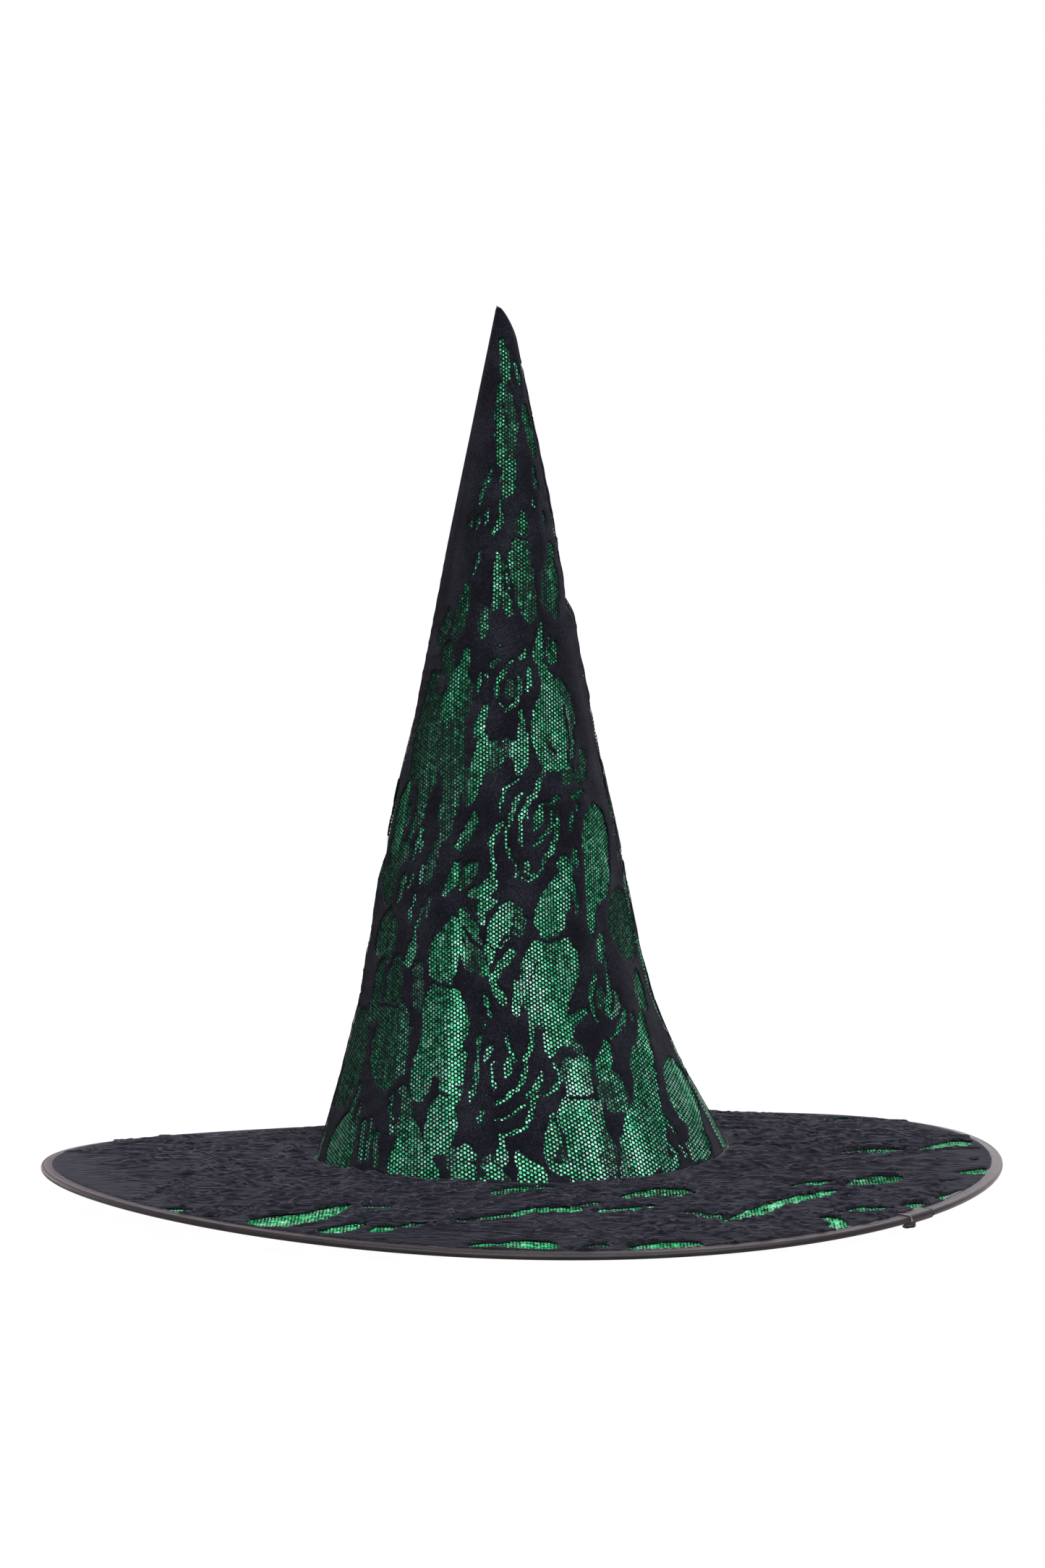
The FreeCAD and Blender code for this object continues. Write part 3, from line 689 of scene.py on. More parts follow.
# Every line of the lace is a list of points: degrees right of the front, millimetres above
# the seam, and half the line's width in millimetres as seen from the front.
OPEN_WINDOWS = [
    # near the tip
    [(-2, 371, 0.8), (0, 367, 1.2), (3, 361, 1.6), (4, 357, 1.8), (6, 353, 1.7)],
    [(-6, 350, 0.9), (-6, 340, 1.6), (-6, 330, 1.7), (-5, 322, 1.7), (-4, 315.5, 1.2)],
    [(14, 316, 1.4), (11.5, 313, 2.4), (8.5, 309.5, 3.4), (7.5, 306, 3.3), (6, 303, 2.6),
     (3, 300.8, 1.4)],
    [(-1.5, 291, 0.7), (-1.8, 289.5, 0.9), (-4.5, 287, 1.4), (-8, 285.3, 0.9), (-12, 283, 0.4)],
    [(15, 280, 1.6), (14.8, 276, 2.4), (13.3, 271, 3.1), (13.5, 266.5, 2.7), (14, 262, 2.3)],
    [(-3.5, 273.5, 0.6), (-4, 270.5, 1.1), (-4.6, 266, 1.7), (-4.8, 260, 1.9), (-5, 254.5, 1.7),
     (-7, 249.8, 0.8)],
    [(2, 256, 0.6), (3.8, 252.5, 1.2), (4.2, 249.5, 1.8), (4.5, 247, 1.3)],
    [(24, 293, 0.8), (24, 289, 1.4), (24, 284, 1.5)],
    [(-33, 260.5, 0.5), (-35, 256.5, 0.9), (-35.5, 252.5, 1.6), (-35.5, 249, 1.3)],
    [(50, 340, 0.8), (52, 335, 1.3), (56, 329, 1.3), (57, 320, 1.1)],
    [(59, 277, 1.1), (57, 271, 0.9), (55, 262, 1), (50, 252, 1.1)],
    # round the upper rose
    [(31, 238.5, 0.6), (29.3, 235, 1.1), (28.6, 231, 2), (28, 227.5, 2.3), (30, 225, 1.2)],
    [(30, 224, 1.2), (33, 218, 2.9), (33.5, 213.5, 3.3), (34, 207, 5.5), (35, 200, 8.8),
     (34.5, 193, 9.2), (33, 187, 8.3), (31, 183, 4.8), (30.5, 181, 2.2)],
    [(-27, 230, 1), (-28, 224.5, 1.8), (-31, 220, 2.9), (-33.5, 214, 4), (-36, 206, 4.2),
     (-38, 201, 2.5)],
    [(11.5, 203, 0.6), (12.5, 199, 0.8), (12.3, 195, 1.3), (12, 192, 2.2), (11, 188, 3.4),
     (10, 184.5, 3.9), (10.5, 182, 3.6), (8.7, 178.5, 1.7), (8, 176, 0.7)],
    [(-10.5, 206, 0.6), (-12.5, 201.5, 1.3), (-14.5, 197, 1.6), (-16.5, 193, 1.1)],
    [(-11, 193, 0.7), (-10.5, 188.5, 2.3), (-12, 184, 3.1), (-13.5, 180, 3.1), (-15, 176, 2.3),
     (-14.5, 173, 1.4), (-15.5, 169.5, 1.8), (-17, 165.5, 1.4), (-18.5, 161.5, 0.7)],
    [(-14.3, 157.5, 0.8), (-15.2, 153.5, 1.4), (-17.3, 150, 1.8), (-19.5, 146, 1.8), (-23, 143, 1)],
    [(-63, 169, 0.9), (-64.5, 163, 1.8), (-66, 155, 2.2), (-66, 148, 2.2), (-68, 141, 1.4)],
    # between the large rose and the lower roses
    [(58, 155, 2.3), (57.5, 151, 5), (56, 145, 6), (54.5, 137, 5.8), (52, 130.5, 5.4),
     (49.5, 125, 4.8), (46, 120, 3.2), (44, 116, 2), (42, 110, 1.6), (41, 105, 0.7)],
    [(30, 136, 2.1), (30.5, 132, 2.6), (29.5, 128, 2.8), (27.5, 124.5, 3.8), (24.5, 119.5, 5.8),
     (22.5, 114.5, 6.5), (21, 110.5, 6.6), (20, 108.5, 5)],
    [(37.5, 141, 0.9), (36.5, 137, 1.5), (36.5, 133.5, 0.8)],
    [(-14, 135, 1.4), (-15.5, 133.5, 2.4), (-16.8, 130, 2.4), (-18.5, 126.5, 1.3), (-19.5, 124, 0.7)],
    [(-22.5, 135, 0.9), (-23.5, 130, 1.8), (-25, 126, 1.7), (-27.5, 122.5, 0.8)],
    [(-4, 128, 1.4), (-6.5, 125.5, 2.8), (-9, 123.5, 2.6), (-14, 122.5, 1.4)],
    [(-5, 119, 1.8), (-8, 118, 2.5), (-11, 115.5, 1.4)], [(-9, 114, 1.2), (-9, 110, 0.9)],
    [(3, 117, 2.2), (1.5, 112, 4.5), (-1, 107, 5), (-2, 102.5, 3.2), (-1.5, 100.5, 1.3)],
    [(-18, 115, 1.9), (-15, 110, 3.1), (-12.5, 106, 2)],
    [(-19, 107, 1.4), (-17.5, 101, 2.6), (-16, 95.5, 2)],
    [(-5, 104, 1.3), (-5, 100, 2.2), (-6.5, 94, 2.2), (-8, 88, 1.2)],
    [(4, 97.3, 0.9), (-0.5, 91, 1.6), (-5.3, 84, 1.1)], [(-4, 82, 1.3), (-2.5, 78, 2), (-1, 75, 1)],
    [(4.5, 84, 0.6), (4.5, 79, 0.9), (4, 74, 1.5), (3.5, 71, 1.4)],
    # the tall window left of the lower rose
    [(-22.5, 111, 1.3), (-25, 103, 3.8), (-26, 97, 5.8), (-26.5, 90.5, 6), (-25.5, 84.5, 3.8),
     (-25.5, 79, 4.6), (-25.2, 72, 8.8), (-24.5, 66, 10.2), (-25, 60, 9.5), (-26.5, 55, 8),
     (-28.5, 50, 6.4), (-31, 46, 4.2), (-31.5, 38.5, 3.6), (-32, 34, 1.7)],
    [(-16, 52, 1.2), (-18, 47, 2.2), (-20, 42, 4.3), (-20.5, 38, 4.5), (-21.5, 33, 3.8),
     (-23, 29, 4.8), (-23, 23.5, 6), (-23.5, 18.5, 5.8), (-24, 15, 4), (-25, 12.5, 1.8)],
    [(-34, 23, 1.3), (-33, 17, 3.6), (-33, 11, 5.6), (-32, 5, 8.5), (-31, 0, 10)],
    [(-41, 102, 0.8), (-42.5, 96, 1.7), (-44.5, 90.5, 1.3)],
    # the round window right of it, and those under it
    [(21, 94, 8.8), (20.5, 92, 11.8), (18, 86, 11.8), (16, 79, 10.5), (16, 73.5, 8.5), (15, 70, 5),
     (13.8, 67, 2.6)],
    [(31, 70, 0.8), (27, 68, 1.6), (23, 65, 2.5), (18.5, 61.5, 3.9), (15.5, 57.5, 3), (14, 53.5, 1.2)],
    [(26, 49.5, 2.2), (25.5, 48, 2.9), (23.5, 44, 4.5), (23, 40, 4.9), (22.5, 37, 5.1),
     (21.5, 32.5, 6.5), (21, 28, 8.6), (20, 23.5, 8.8), (19.5, 18.5, 8.1), (19, 14, 6.5)],
    [(19, 5, 5.5), (18.5, 0, 6)], [(11.5, 27, 0.8), (11, 21, 1.8), (10, 15.5, 2.4), (9, 11, 1.9)],
    [(9, 8.5, 1.3), (10.5, 5.8, 1.8), (12.5, 4.8, 1.2)], [(15.5, 6, 1.6), (15.5, 4, 1.6)],
    [(0, 12, 1), (1, 8.5, 3), (3, 4.5, 4.8), (3, 0, 5.6)],
    [(-5, 13.5, 1.1), (-5, 10, 2.2), (-7.5, 5, 2.6), (-7, 0, 2.6)], [(-11, 1.8, 0.9), (-11, 0, 0.9)],
    [(-15, 13.5, 1.8), (-15, 10, 3.4), (-15.5, 5.5, 4), (-16.5, 0.5, 4.2)],
    # the right side, down to the seam
    [(61, 65, 0.9), (57.5, 57, 2), (55, 51, 2.6), (51, 46, 3.8), (49.5, 40, 4.2), (48, 34, 4.6),
     (46, 28, 5.2), (44.5, 24, 6), (41.5, 18, 7.6), (38.5, 12, 7.4), (35.5, 7, 5.8), (32.5, 1.5, 4.8),
     (32, -2, 4.6)],
    [(37.3, 56, 0.8), (36, 52.5, 1.6), (34, 48.5, 2.7), (31.5, 44.5, 2.3), (30, 41, 0.9)],
    [(46.5, 102, 0.9), (45, 97.5, 1.6), (43.5, 92.5, 0.8)], [(68, 82, 1.2), (67, 76, 2), (66, 70, 1.6)],
    [(68, 38, 3), (67, 32, 5), (66, 25, 4.8), (65, 18, 3)], [(63, 9, 3), (61, 5, 1.6)],
    [(-63, 18, 2.4), (-64, 8, 4.8), (-63, 1, 4.6)], [(45, 5, 1.2), (44, 0, 1.8)],
]
# The windows whose net is thicker, so that less of the satin shows.
HALF_WINDOWS = [
    [(0, 347, 2.8), (5, 338, 4.3), (6, 332, 4.9), (3, 325, 4.5), (2, 319, 3.2)],
    [(5, 366, 1.6), (8, 359, 1.8)],
    [(23, 278, 1.4), (23, 270, 1.7), (23.5, 263, 2.2), (20, 257.5, 4.2), (20.5, 252.5, 4),
     (22.5, 247, 3), (21.5, 243.5, 1.5)],
    [(17, 290, 0.7), (17, 285, 0.9)], [(52, 266, 3), (48, 256, 4), (46, 250, 3)],
    [(-14, 248, 1.5), (-15, 243, 1.8), (-16, 237, 1.1)],
    [(-36, 250, 2), (-38, 244, 2.4), (-40, 238, 2)], [(-53, 246, 1.6), (-56, 240, 2), (-58, 235, 1.3)],
    [(-46, 230, 2.5), (-44, 222, 2.5)],
    [(-57, 218, 1.5), (-58, 208, 3), (-59, 196, 3.8), (-59, 184, 3.4), (-58, 175, 1.8)],
    [(-60, 88, 1), (-62, 78, 1.8), (-62, 66, 1.6)], [(-41, 61, 1.6), (-41, 52, 2), (-40, 44, 1.2)],
    [(-55, 108, 1), (-56, 100, 1.6), (-57, 92, 1)], [(-33, 145, 1), (-36, 136, 1.6), (-38, 128, 1.2)],
    [(-25, 214, 3), (-28, 206, 4), (-30, 199, 2.5)], [(43, 216, 1.5), (46, 208, 2.4), (50, 199, 2.2)],
    [(5, 216, 1.2), (5, 213, 2.4), (5, 210.8, 1.8)], [(40.5, 178, 0.9), (40, 175, 1.9), (39, 172, 1.3)],
    [(48.5, 176, 1.6), (47.5, 172, 1.4)], [(56, 184, 0.7), (54.5, 178, 1), (53, 173, 0.7)],
    [(3, 190, 1.8), (4, 185, 1.6)], [(-4.5, 189, 1.5), (-3.5, 183, 2.2), (-6, 178.5, 2.2)],
    [(-20, 176, 2), (-20.5, 170, 2.2), (-19.5, 164, 1.2)],
    [(-40, 205, 4.5), (-46, 197, 5.8), (-48, 188, 5.2), (-47, 178, 4.2), (-46.5, 171, 3.2),
     (-48, 163, 2), (-49, 152, 1.2)],
    [(-29, 194, 3.6), (-29, 186, 4.6), (-30, 176, 4.6), (-29, 167, 3.6), (-30, 158, 3.4),
     (-30, 148, 2)],
    [(68, 115, 3), (67, 108, 6), (66, 101, 5)], [(7, 115, 1.5), (7.5, 109, 2), (6.5, 105.3, 1.4)],
    [(-15, 98, 3), (-13, 93, 4.2), (-11, 90, 2.6)], [(-12, 104, 1.2), (-10, 98, 1.6)],
    [(-64, 137, 3), (-58, 139, 2.6), (-54, 140, 1.6)], [(-66, 128, 3.5), (-64, 120, 2)],
    [(-60, 112, 1.2), (-63, 104, 2.5), (-65, 98, 2.8)],
    [(-38, 88, 2.2), (-37, 80, 2.2), (-37, 72, 1.6)],
    [(-50, 91, 1.4), (-51, 83, 3), (-51, 76, 3), (-52, 70, 4), (-49, 64, 6.6), (-49, 54, 7.2),
     (-47.5, 47, 6.6), (-46.5, 42, 4)],
    [(14, 68, 2.6), (12, 65.5, 1.6)], [(22, 58, 2.2), (24.5, 55, 1.8)], [(20, 49, 2.2), (18.5, 44, 2)],
    [(40.5, 78.5, 0.9), (40, 75, 1.7), (39, 71.5, 1.1)],
    [(34.5, 41, 3), (34, 37, 5.3), (33.7, 33.5, 5.1), (33.5, 31, 3)],
    [(24, 22, 3.4), (25, 14, 5), (24, 7, 4.5)], [(19, 10, 8), (20, 0, 8)],
    [(14, 22, 1.2), (15, 16, 1.9), (15.5, 11, 2.2)], [(-8, 8, 3), (-6, 1, 3.6)],
    [(-19, 12, 2), (-19, 7, 1.6)], [(-19, 47, 3), (-23, 45, 3)],
    [(-38, 36, 1.4), (-36, 28, 2), (-37, 20, 2)], [(-70, 60, 3.6), (-70, 45, 5), (-71, 32, 3.6)],
]
# The lines of open net between the petals of the roses, and loose lines of holes.
PETAL_LINES = [
    # upper rose
    [(2.5, 223, 0.7), (0.5, 219.8, 1.4), (-3.5, 216, 1.1), (-4, 210, 0.8)],
    [(-2.5, 207, 0.5), (-1, 205.5, 0.5)],
    [(1, 203.5, 0.8), (7, 206, 0.9), (10, 208.5, 1.1), (11.5, 213, 0.8), (11.8, 219, 0.8)],
    [(-1.5, 226.3, 0.7), (-7.3, 223.5, 1)], [(-10, 220, 0.8), (-10.3, 216, 0.7)],
    [(-15, 222, 0.5), (-16, 217, 0.6), (-16.5, 212, 0.5)],
    [(18.7, 222, 0.6), (18.9, 219, 1), (18, 215.5, 1), (16, 212, 0.8)],
    [(6, 224.5, 0.8), (9, 225.8, 0.7)], [(13, 227, 1), (15.5, 229, 1.1), (17.2, 232, 0.7)],
    [(-3, 232, 0.8), (-1.5, 233, 0.5)],
    # large rose
    [(21, 162, 0.8), (20.5, 158, 1.9), (19, 154, 1.8), (16.7, 150.7, 0.7)],
    [(11.5, 168, 0.7), (8.3, 165.5, 1), (6, 162.5, 1.1), (4.9, 159, 1.1), (3.6, 155.5, 1)],
    [(4, 153.5, 0.8), (1.6, 151, 0.8), (1.5, 147.5, 0.8), (2.3, 141, 0.7), (4.8, 137, 0.5),
     (7, 133.5, 0.6), (7.3, 131, 0.8)],
    [(30, 179, 0.7), (25.7, 177, 0.8), (22.3, 175, 1), (20, 171, 1.1), (19, 167.5, 1.2),
     (15.7, 165, 1.2), (13.5, 161, 0.8), (12.8, 155.5, 0.5)],
    [(11.8, 160.3, 0.9), (9.8, 157, 1.1), (8.8, 154, 0.9), (9, 150, 0.9), (9, 145.5, 1),
     (9.5, 141.5, 0.5)],
    [(8.3, 173.5, 0.6), (5, 171.5, 0.7), (1.3, 170, 1), (-0.3, 166.5, 1), (-1.5, 162.5, 1),
     (-1.8, 159, 0.5)],
    [(-0.3, 154, 0.8), (-2.8, 151, 1), (-4.8, 147, 1.3), (-6, 143.5, 1.1), (-5.6, 139.5, 0.8),
     (-4.2, 134.7, 1.2), (-4.8, 131, 1.1)],
    [(12, 135.5, 0.9), (12, 131.5, 1.1)],
    [(4, 130, 0.5), (8, 130, 0.5), (12, 128.5, 0.7), (15, 130, 0.6)],
    [(16.2, 130, 0.7), (18.2, 131.5, 0.7), (19.9, 134.5, 1), (21.3, 138, 1), (24.5, 141.5, 1.1),
     (26.5, 145.5, 1.1), (28.3, 150, 1), (29.8, 154.3, 0.8), (30.5, 159, 0.5)],
    [(14.8, 143.5, 0.6), (18.2, 144.7, 1), (21, 148, 0.9), (24.8, 150.7, 1), (26, 154.3, 0.8),
     (26, 159, 0.6)],
    [(22.5, 162, 0.6), (26, 162.5, 0.8), (31.5, 164.7, 0.8), (34.5, 165.7, 0.5)],
    [(39.5, 158.3, 0.6), (38, 154, 0.8), (36.2, 150.7, 0.6)],
    [(42, 164.5, 1), (45, 166.3, 0.9), (49, 167, 0.6)], [(43.3, 162, 0.6), (43.3, 158.5, 0.5)],
    # lower rose
    [(-9, 78.5, 0.8), (-7.5, 73.5, 1.2), (-6.5, 69, 0.8)], [(-9, 69, 0.5), (-8.5, 64, 0.6)],
    [(-10, 61, 0.9), (-10.7, 57.5, 0.9), (-11, 51.5, 0.6), (-11.5, 46.5, 1.1), (-12, 41.5, 1),
     (-13.3, 36.5, 1), (-13.7, 32, 0.6)],
    [(-8.8, 29.5, 0.5), (-10.2, 27, 1), (-10.5, 24, 0.9)],
    [(-6, 56.5, 0.9), (-7.5, 54, 1.3), (-8.3, 50, 0.9)],
    [(-5.3, 50.3, 0.5), (-6.3, 47.5, 0.7), (-6.2, 44, 0.6), (-5.6, 38.5, 0.5)],
    [(-0.6, 62.7, 0.5), (-0.3, 58, 0.6), (1, 53, 0.7), (1.8, 50, 0.6)],
    [(0, 51, 0.8), (-1.2, 47.5, 1.8), (-2, 43.5, 1)],
    [(9, 69, 0.8), (9, 63.5, 0.9), (8, 57.5, 1.2), (5.7, 53, 1), (4.8, 47.5, 1), (3.8, 43, 1.1),
     (2.5, 39.5, 0.9), (0.8, 37.3, 0.7), (-2, 35, 1), (-6, 31.5, 0.5)],
    [(10, 46, 0.9), (8.8, 41.5, 1.3), (6.3, 37, 1), (4.5, 35, 0.7)],
    [(15, 50.2, 0.5), (16, 43, 1), (14.5, 39.5, 1), (11.5, 36.5, 0.8), (7.5, 34.5, 0.5)],
    [(6, 34.5, 0.9), (6, 31, 0.9), (4.5, 26.5, 1.1), (2, 22, 1), (-2.3, 19.3, 0.8), (-4.5, 18.5, 1),
     (-4.7, 15, 1.2)],
    [(3.3, 31.5, 0.9), (0.8, 29, 0.7), (-1, 27.3, 0.6), (-3.8, 26, 0.6), (-6.5, 25.5, 0.5)],
    [(-9, 36, 0.5), (-7, 33.5, 0.5)],
    # small rose on the right
    [(39.5, 85.5, 0.9), (37, 81, 1.1), (35.5, 77, 0.8), (34.5, 71, 1), (35.2, 66, 0.7)],
    [(47, 92, 0.5), (46, 84.5, 0.6), (45.5, 78, 1), (44, 73.5, 1.2), (42.5, 69.5, 1), (40.5, 67, 0.6)],
    [(48.5, 77, 0.6), (48.5, 72.5, 0.9), (46.5, 68.5, 0.9), (43, 66, 0.6)],
    [(51, 69, 0.6), (49, 65, 1), (47, 62.5, 1), (43.5, 59.5, 0.8), (40.5, 58, 0.7)],
    [(54.5, 67, 0.5), (54, 64, 0.5)],
    # loose lines, most of them on the left
    [(-3.5, 298, 0.8), (-3.2, 296, 0.7), (-1.5, 294, 0.6), (-1.5, 291, 0.8)],
    [(-20, 313, 0.6), (-22.5, 307, 0.7), (-28, 301, 0.7), (-30, 296, 0.6)],
    [(-18.5, 295, 0.6), (-21, 287, 0.6)], [(-23.5, 274.5, 0.8), (-25.5, 269, 0.7), (-30, 264, 0.6)],
    [(-29, 290, 0.6), (-32, 284, 0.6)], [(-40, 291, 0.6), (-40, 286, 0.6)],
    [(50, 313, 0.8), (51, 305, 0.8)], [(43, 299, 0.6), (41, 295, 0.5)],
    [(56, 293, 0.6), (55, 288, 0.6)], [(38, 361, 0.6), (44, 356, 1), (48, 351, 0.8)],
    [(1.5, 270, 0.5), (4.5, 262, 0.7), (5, 258, 0.6)], [(32, 242, 0.8), (31, 240, 0.8)],
    [(38.5, 236, 0.6), (38, 230, 0.8), (37, 225, 0.8)],
    [(44.5, 234, 0.6), (43.5, 230, 1), (42.5, 225, 0.9)], [(-57, 160, 0.6), (-57, 152, 0.6)],
    [(-51, 157, 0.5), (-52, 150, 0.7), (-54, 143, 0.5)],
    [(-45, 150, 0.6), (-47, 143, 0.6), (-49, 136, 0.5)], [(-42, 147, 0.5), (-45, 140, 0.6)],
    [(-52, 130, 0.6), (-53, 124, 0.7), (-54, 117, 0.6)], [(-44, 122, 0.6), (-46, 110, 0.6)],
    [(-38, 116, 0.7), (-40, 110, 0.7), (-42, 105, 0.5)], [(-41, 134, 0.6), (-42, 126, 0.6)],
    [(-47, 130, 0.6), (-49, 124, 0.6)], [(-34, 122, 0.5), (-36, 112, 0.6)],
    [(34, 128, 0.8), (34.5, 118, 0.9), (34.5, 112, 0.6)], [(41, 110, 0.7), (40.5, 104, 0.8)],
    [(-57, 28, 0.6), (-57, 16, 0.7), (-56, 5, 0.6)], [(-53, 20, 0.8), (-51, 5, 0.7)],
    [(-50, 22, 0.6), (-49, 14, 0.8), (-48, 6, 0.6)], [(-46, 17, 0.9), (-45, 10, 0.8), (-44, 4, 0.6)],
    [(-41, 26, 0.6), (-40, 18, 0.6)], [(-60, 36, 0.6), (-62, 22, 0.6)],
    [(-42, 34, 0.6), (-42, 28, 0.7)], [(48, 12, 0.6), (49, 6, 1), (47, 2, 1)],
    [(53, 10, 0.6), (53, 4, 0.7)], [(57, 9, 0.9), (57, 3, 1.1)], [(52, 20, 0.6), (53, 16, 0.6)],
]
# Solid cords that cross the windows.
CORDS = [
    [(10, 104.5, 1), (15, 102.8, 0.8), (20, 101.4, 0.7), (26, 103.2, 1.1), (31, 105.5, 1.4)],
    [(31, 104, 1), (35, 99, 0.8), (39, 94, 0.7)],
    [(18, 35.3, 0.6), (22, 34.8, 0.8), (25, 34.8, 0.7), (28, 34.4, 0.6)],
    [(-19, 117, 0.6), (-13, 112, 0.6), (-8, 104, 0.6), (-4, 98, 0.5)],
    [(-19, 108, 0.6), (-13, 102, 0.6), (-8, 96, 0.6), (-5, 88, 0.5)],
    [(-18, 103, 0.5), (-14, 96, 0.5), (-10, 89, 0.5)], [(6, 119, 0.6), (4, 108, 0.6), (-1, 101, 0.6)],
    [(-31, 84, 0.8), (-26, 82, 0.7), (-20, 81, 0.8)], [(-58, 72, 0.6), (-47, 71, 0.6)],
    [(-38, 60, 0.5), (-36, 48, 0.5)], [(-19, 38, 0.5), (-15, 40, 0.5)],
    [(-25, 36, 0.5), (-18, 35, 0.5)], [(-15, 9, 0.5), (-11, 8, 0.5)],
    [(-8, 10, 0.5), (-4, 4, 0.5), (-2, -1, 0.5)], [(0, 13, 0.5), (6, 8, 0.6), (9, 4, 0.6)],
    [(12, 26, 0.5), (14, 18, 0.5), (14, 9, 0.5)], [(29, 54, 0.5), (29, 46, 0.5), (28.5, 40, 0.5)],
    [(28, 191, 0.5), (33, 184, 0.5)], [(45, 206, 0.5), (46, 192, 0.5), (41, 181, 0.5)],
    [(14, 93, 0.4), (10, 84, 0.4)], [(-2, 344, 0.4), (4, 338, 0.5), (9, 329, 0.4)],
]
PETAL_WIDTH = 1.1               # share of their listed widths that the petal lines are open
WINDOW_EASE = 0.6               # millimetres that every window is wider on each side than listed
SEAM_TURN = 78                  # degrees right of the front
REPEAT = 150                    # degrees between repeats of the pattern


def full_width(angle, width):
    """The width along the cloth of a line whose width is listed as seen from the front."""
    return width / max(math.cos(math.radians(angle)), 0.45)


def on_crown(points, step, share=1.0, extra=0.0):
    """Flat places of a line of the pattern in its repeat number step; odd repeats are mirrored."""
    mirror = 1 if step % 2 == 0 else -1
    return [(*flat_crown(mirror * angle + step * REPEAT, height),
             share * full_width(angle, width) + extra) for angle, height, width in points]


def crown_lace_pattern(cell):
    edge_left, edge_right = math.radians(SEAM_TURN - 360) * SECTOR, math.radians(SEAM_TURN) * SECTOR
    longest = APEX / math.cos(CONE_ANGLE)
    low = (longest * math.sin(edge_left) - 2, -longest - 2)
    high = (longest * math.sin(edge_right) + 2, -2)
    lace = Lace(low, high, cell, 41)
    for step in (0, -1, -2):
        for points in HALF_WINDOWS:
            lace.opening(on_crown(points, step, extra=WINDOW_EASE), half=True)
        for points in OPEN_WINDOWS:
            lace.opening(on_crown(points, step, extra=WINDOW_EASE))
        for points in PETAL_LINES:
            lace.opening(on_crown(points, step, PETAL_WIDTH))
        for points in CORDS:
            lace.cord(on_crown(points, step))
    slant = np.hypot(lace.x, lace.y)
    turn = np.arctan2(lace.x, -lace.y)
    height = APEX - slant * math.cos(CONE_ANGLE)
    region = np.minimum(height - 0.2, CROWN_HEIGHT / MM - height - 0.6)
    region = np.minimum(region, slant * np.minimum(edge_right - turn, turn - edge_left) - 0.3)
    lace.dense = np.minimum(lace.dense, region)
    lace.half = np.minimum(lace.half, region)
    return lace


def crown_uv(points):
    """Cloth coordinates in metres, kept positive."""
    return points * MM + np.array([0.45, 0.45])


def lay_on_crown(name, lace, field, material, depth, embossed):
    points, values, ridges, faces = fill_region(lace, field)
    theta, height = crown_from_flat(points)
    raised = relief(values, ridges, CROWN_RELIEF) if embossed else 0.0
    places = crown_point(theta, height, depth - raised)
    return add_mesh(name, places, faces, material, crown_uv(points))


def satin_folds(theta, height):
    """The satin hangs a little loose under the lace, in soft upright folds, outwards."""
    size = np.clip(crown_radius(height) / 0.05, 0.1, 1.1)
    folds = waves(theta, height, 71, 9, (14, 30), (0.12, 0.5))
    folds = folds + 0.6 * waves(theta, height, 72, 9, (28, 52), (0.06, 0.3))
    return 0.30 * MM * size * np.clip(folds, -1.6, 1.6)


def crown_sheet(name, material, depth, columns=288, top=CROWN_HEIGHT, folds=0.0):
    """A ply of the crown: a cone closed at its tip, cut open only in its cloth coordinates."""
    rows = 230
    theta = SEAM_ANGLE + np.linspace(0, 2 * math.pi, columns, endpoint=False)
    share = np.linspace(0, 1, rows)
    height = top * (share + 0.06 * np.sin(math.pi * share) * share)
    height[-1] = top
    grid_theta, grid_height = np.meshgrid(theta, height, indexing="ij")
    depth = depth - folds * satin_folds(grid_theta, grid_height)
    places = crown_point(grid_theta, grid_height, depth)
    slant = (APEX - grid_height / MM) / math.cos(CONE_ANGLE)
    turn = (math.radians(SEAM_TURN - 360) + grid_theta - SEAM_ANGLE) * SECTOR
    end_turn = math.radians(SEAM_TURN) * SECTOR
    uv = crown_uv(np.stack([slant * np.sin(turn), -slant * np.cos(turn)], axis=-1))
    last = crown_uv(np.stack([slant[0] * np.sin(end_turn), -slant[0] * np.cos(end_turn)], axis=-1))
    full = np.concatenate([uv, last[None]], axis=0)
    row, column = np.meshgrid(np.arange(columns), np.arange(rows - 1), indexing="ij")
    pairs = np.stack([full[row, column], full[row + 1, column], full[row + 1, column + 1],
                      full[row, column + 1]], axis=2).reshape(-1, 2)
    faces = grid_faces(columns, rows, wrap_rows=True)
    return add_mesh(name, places, faces, material, pairs)


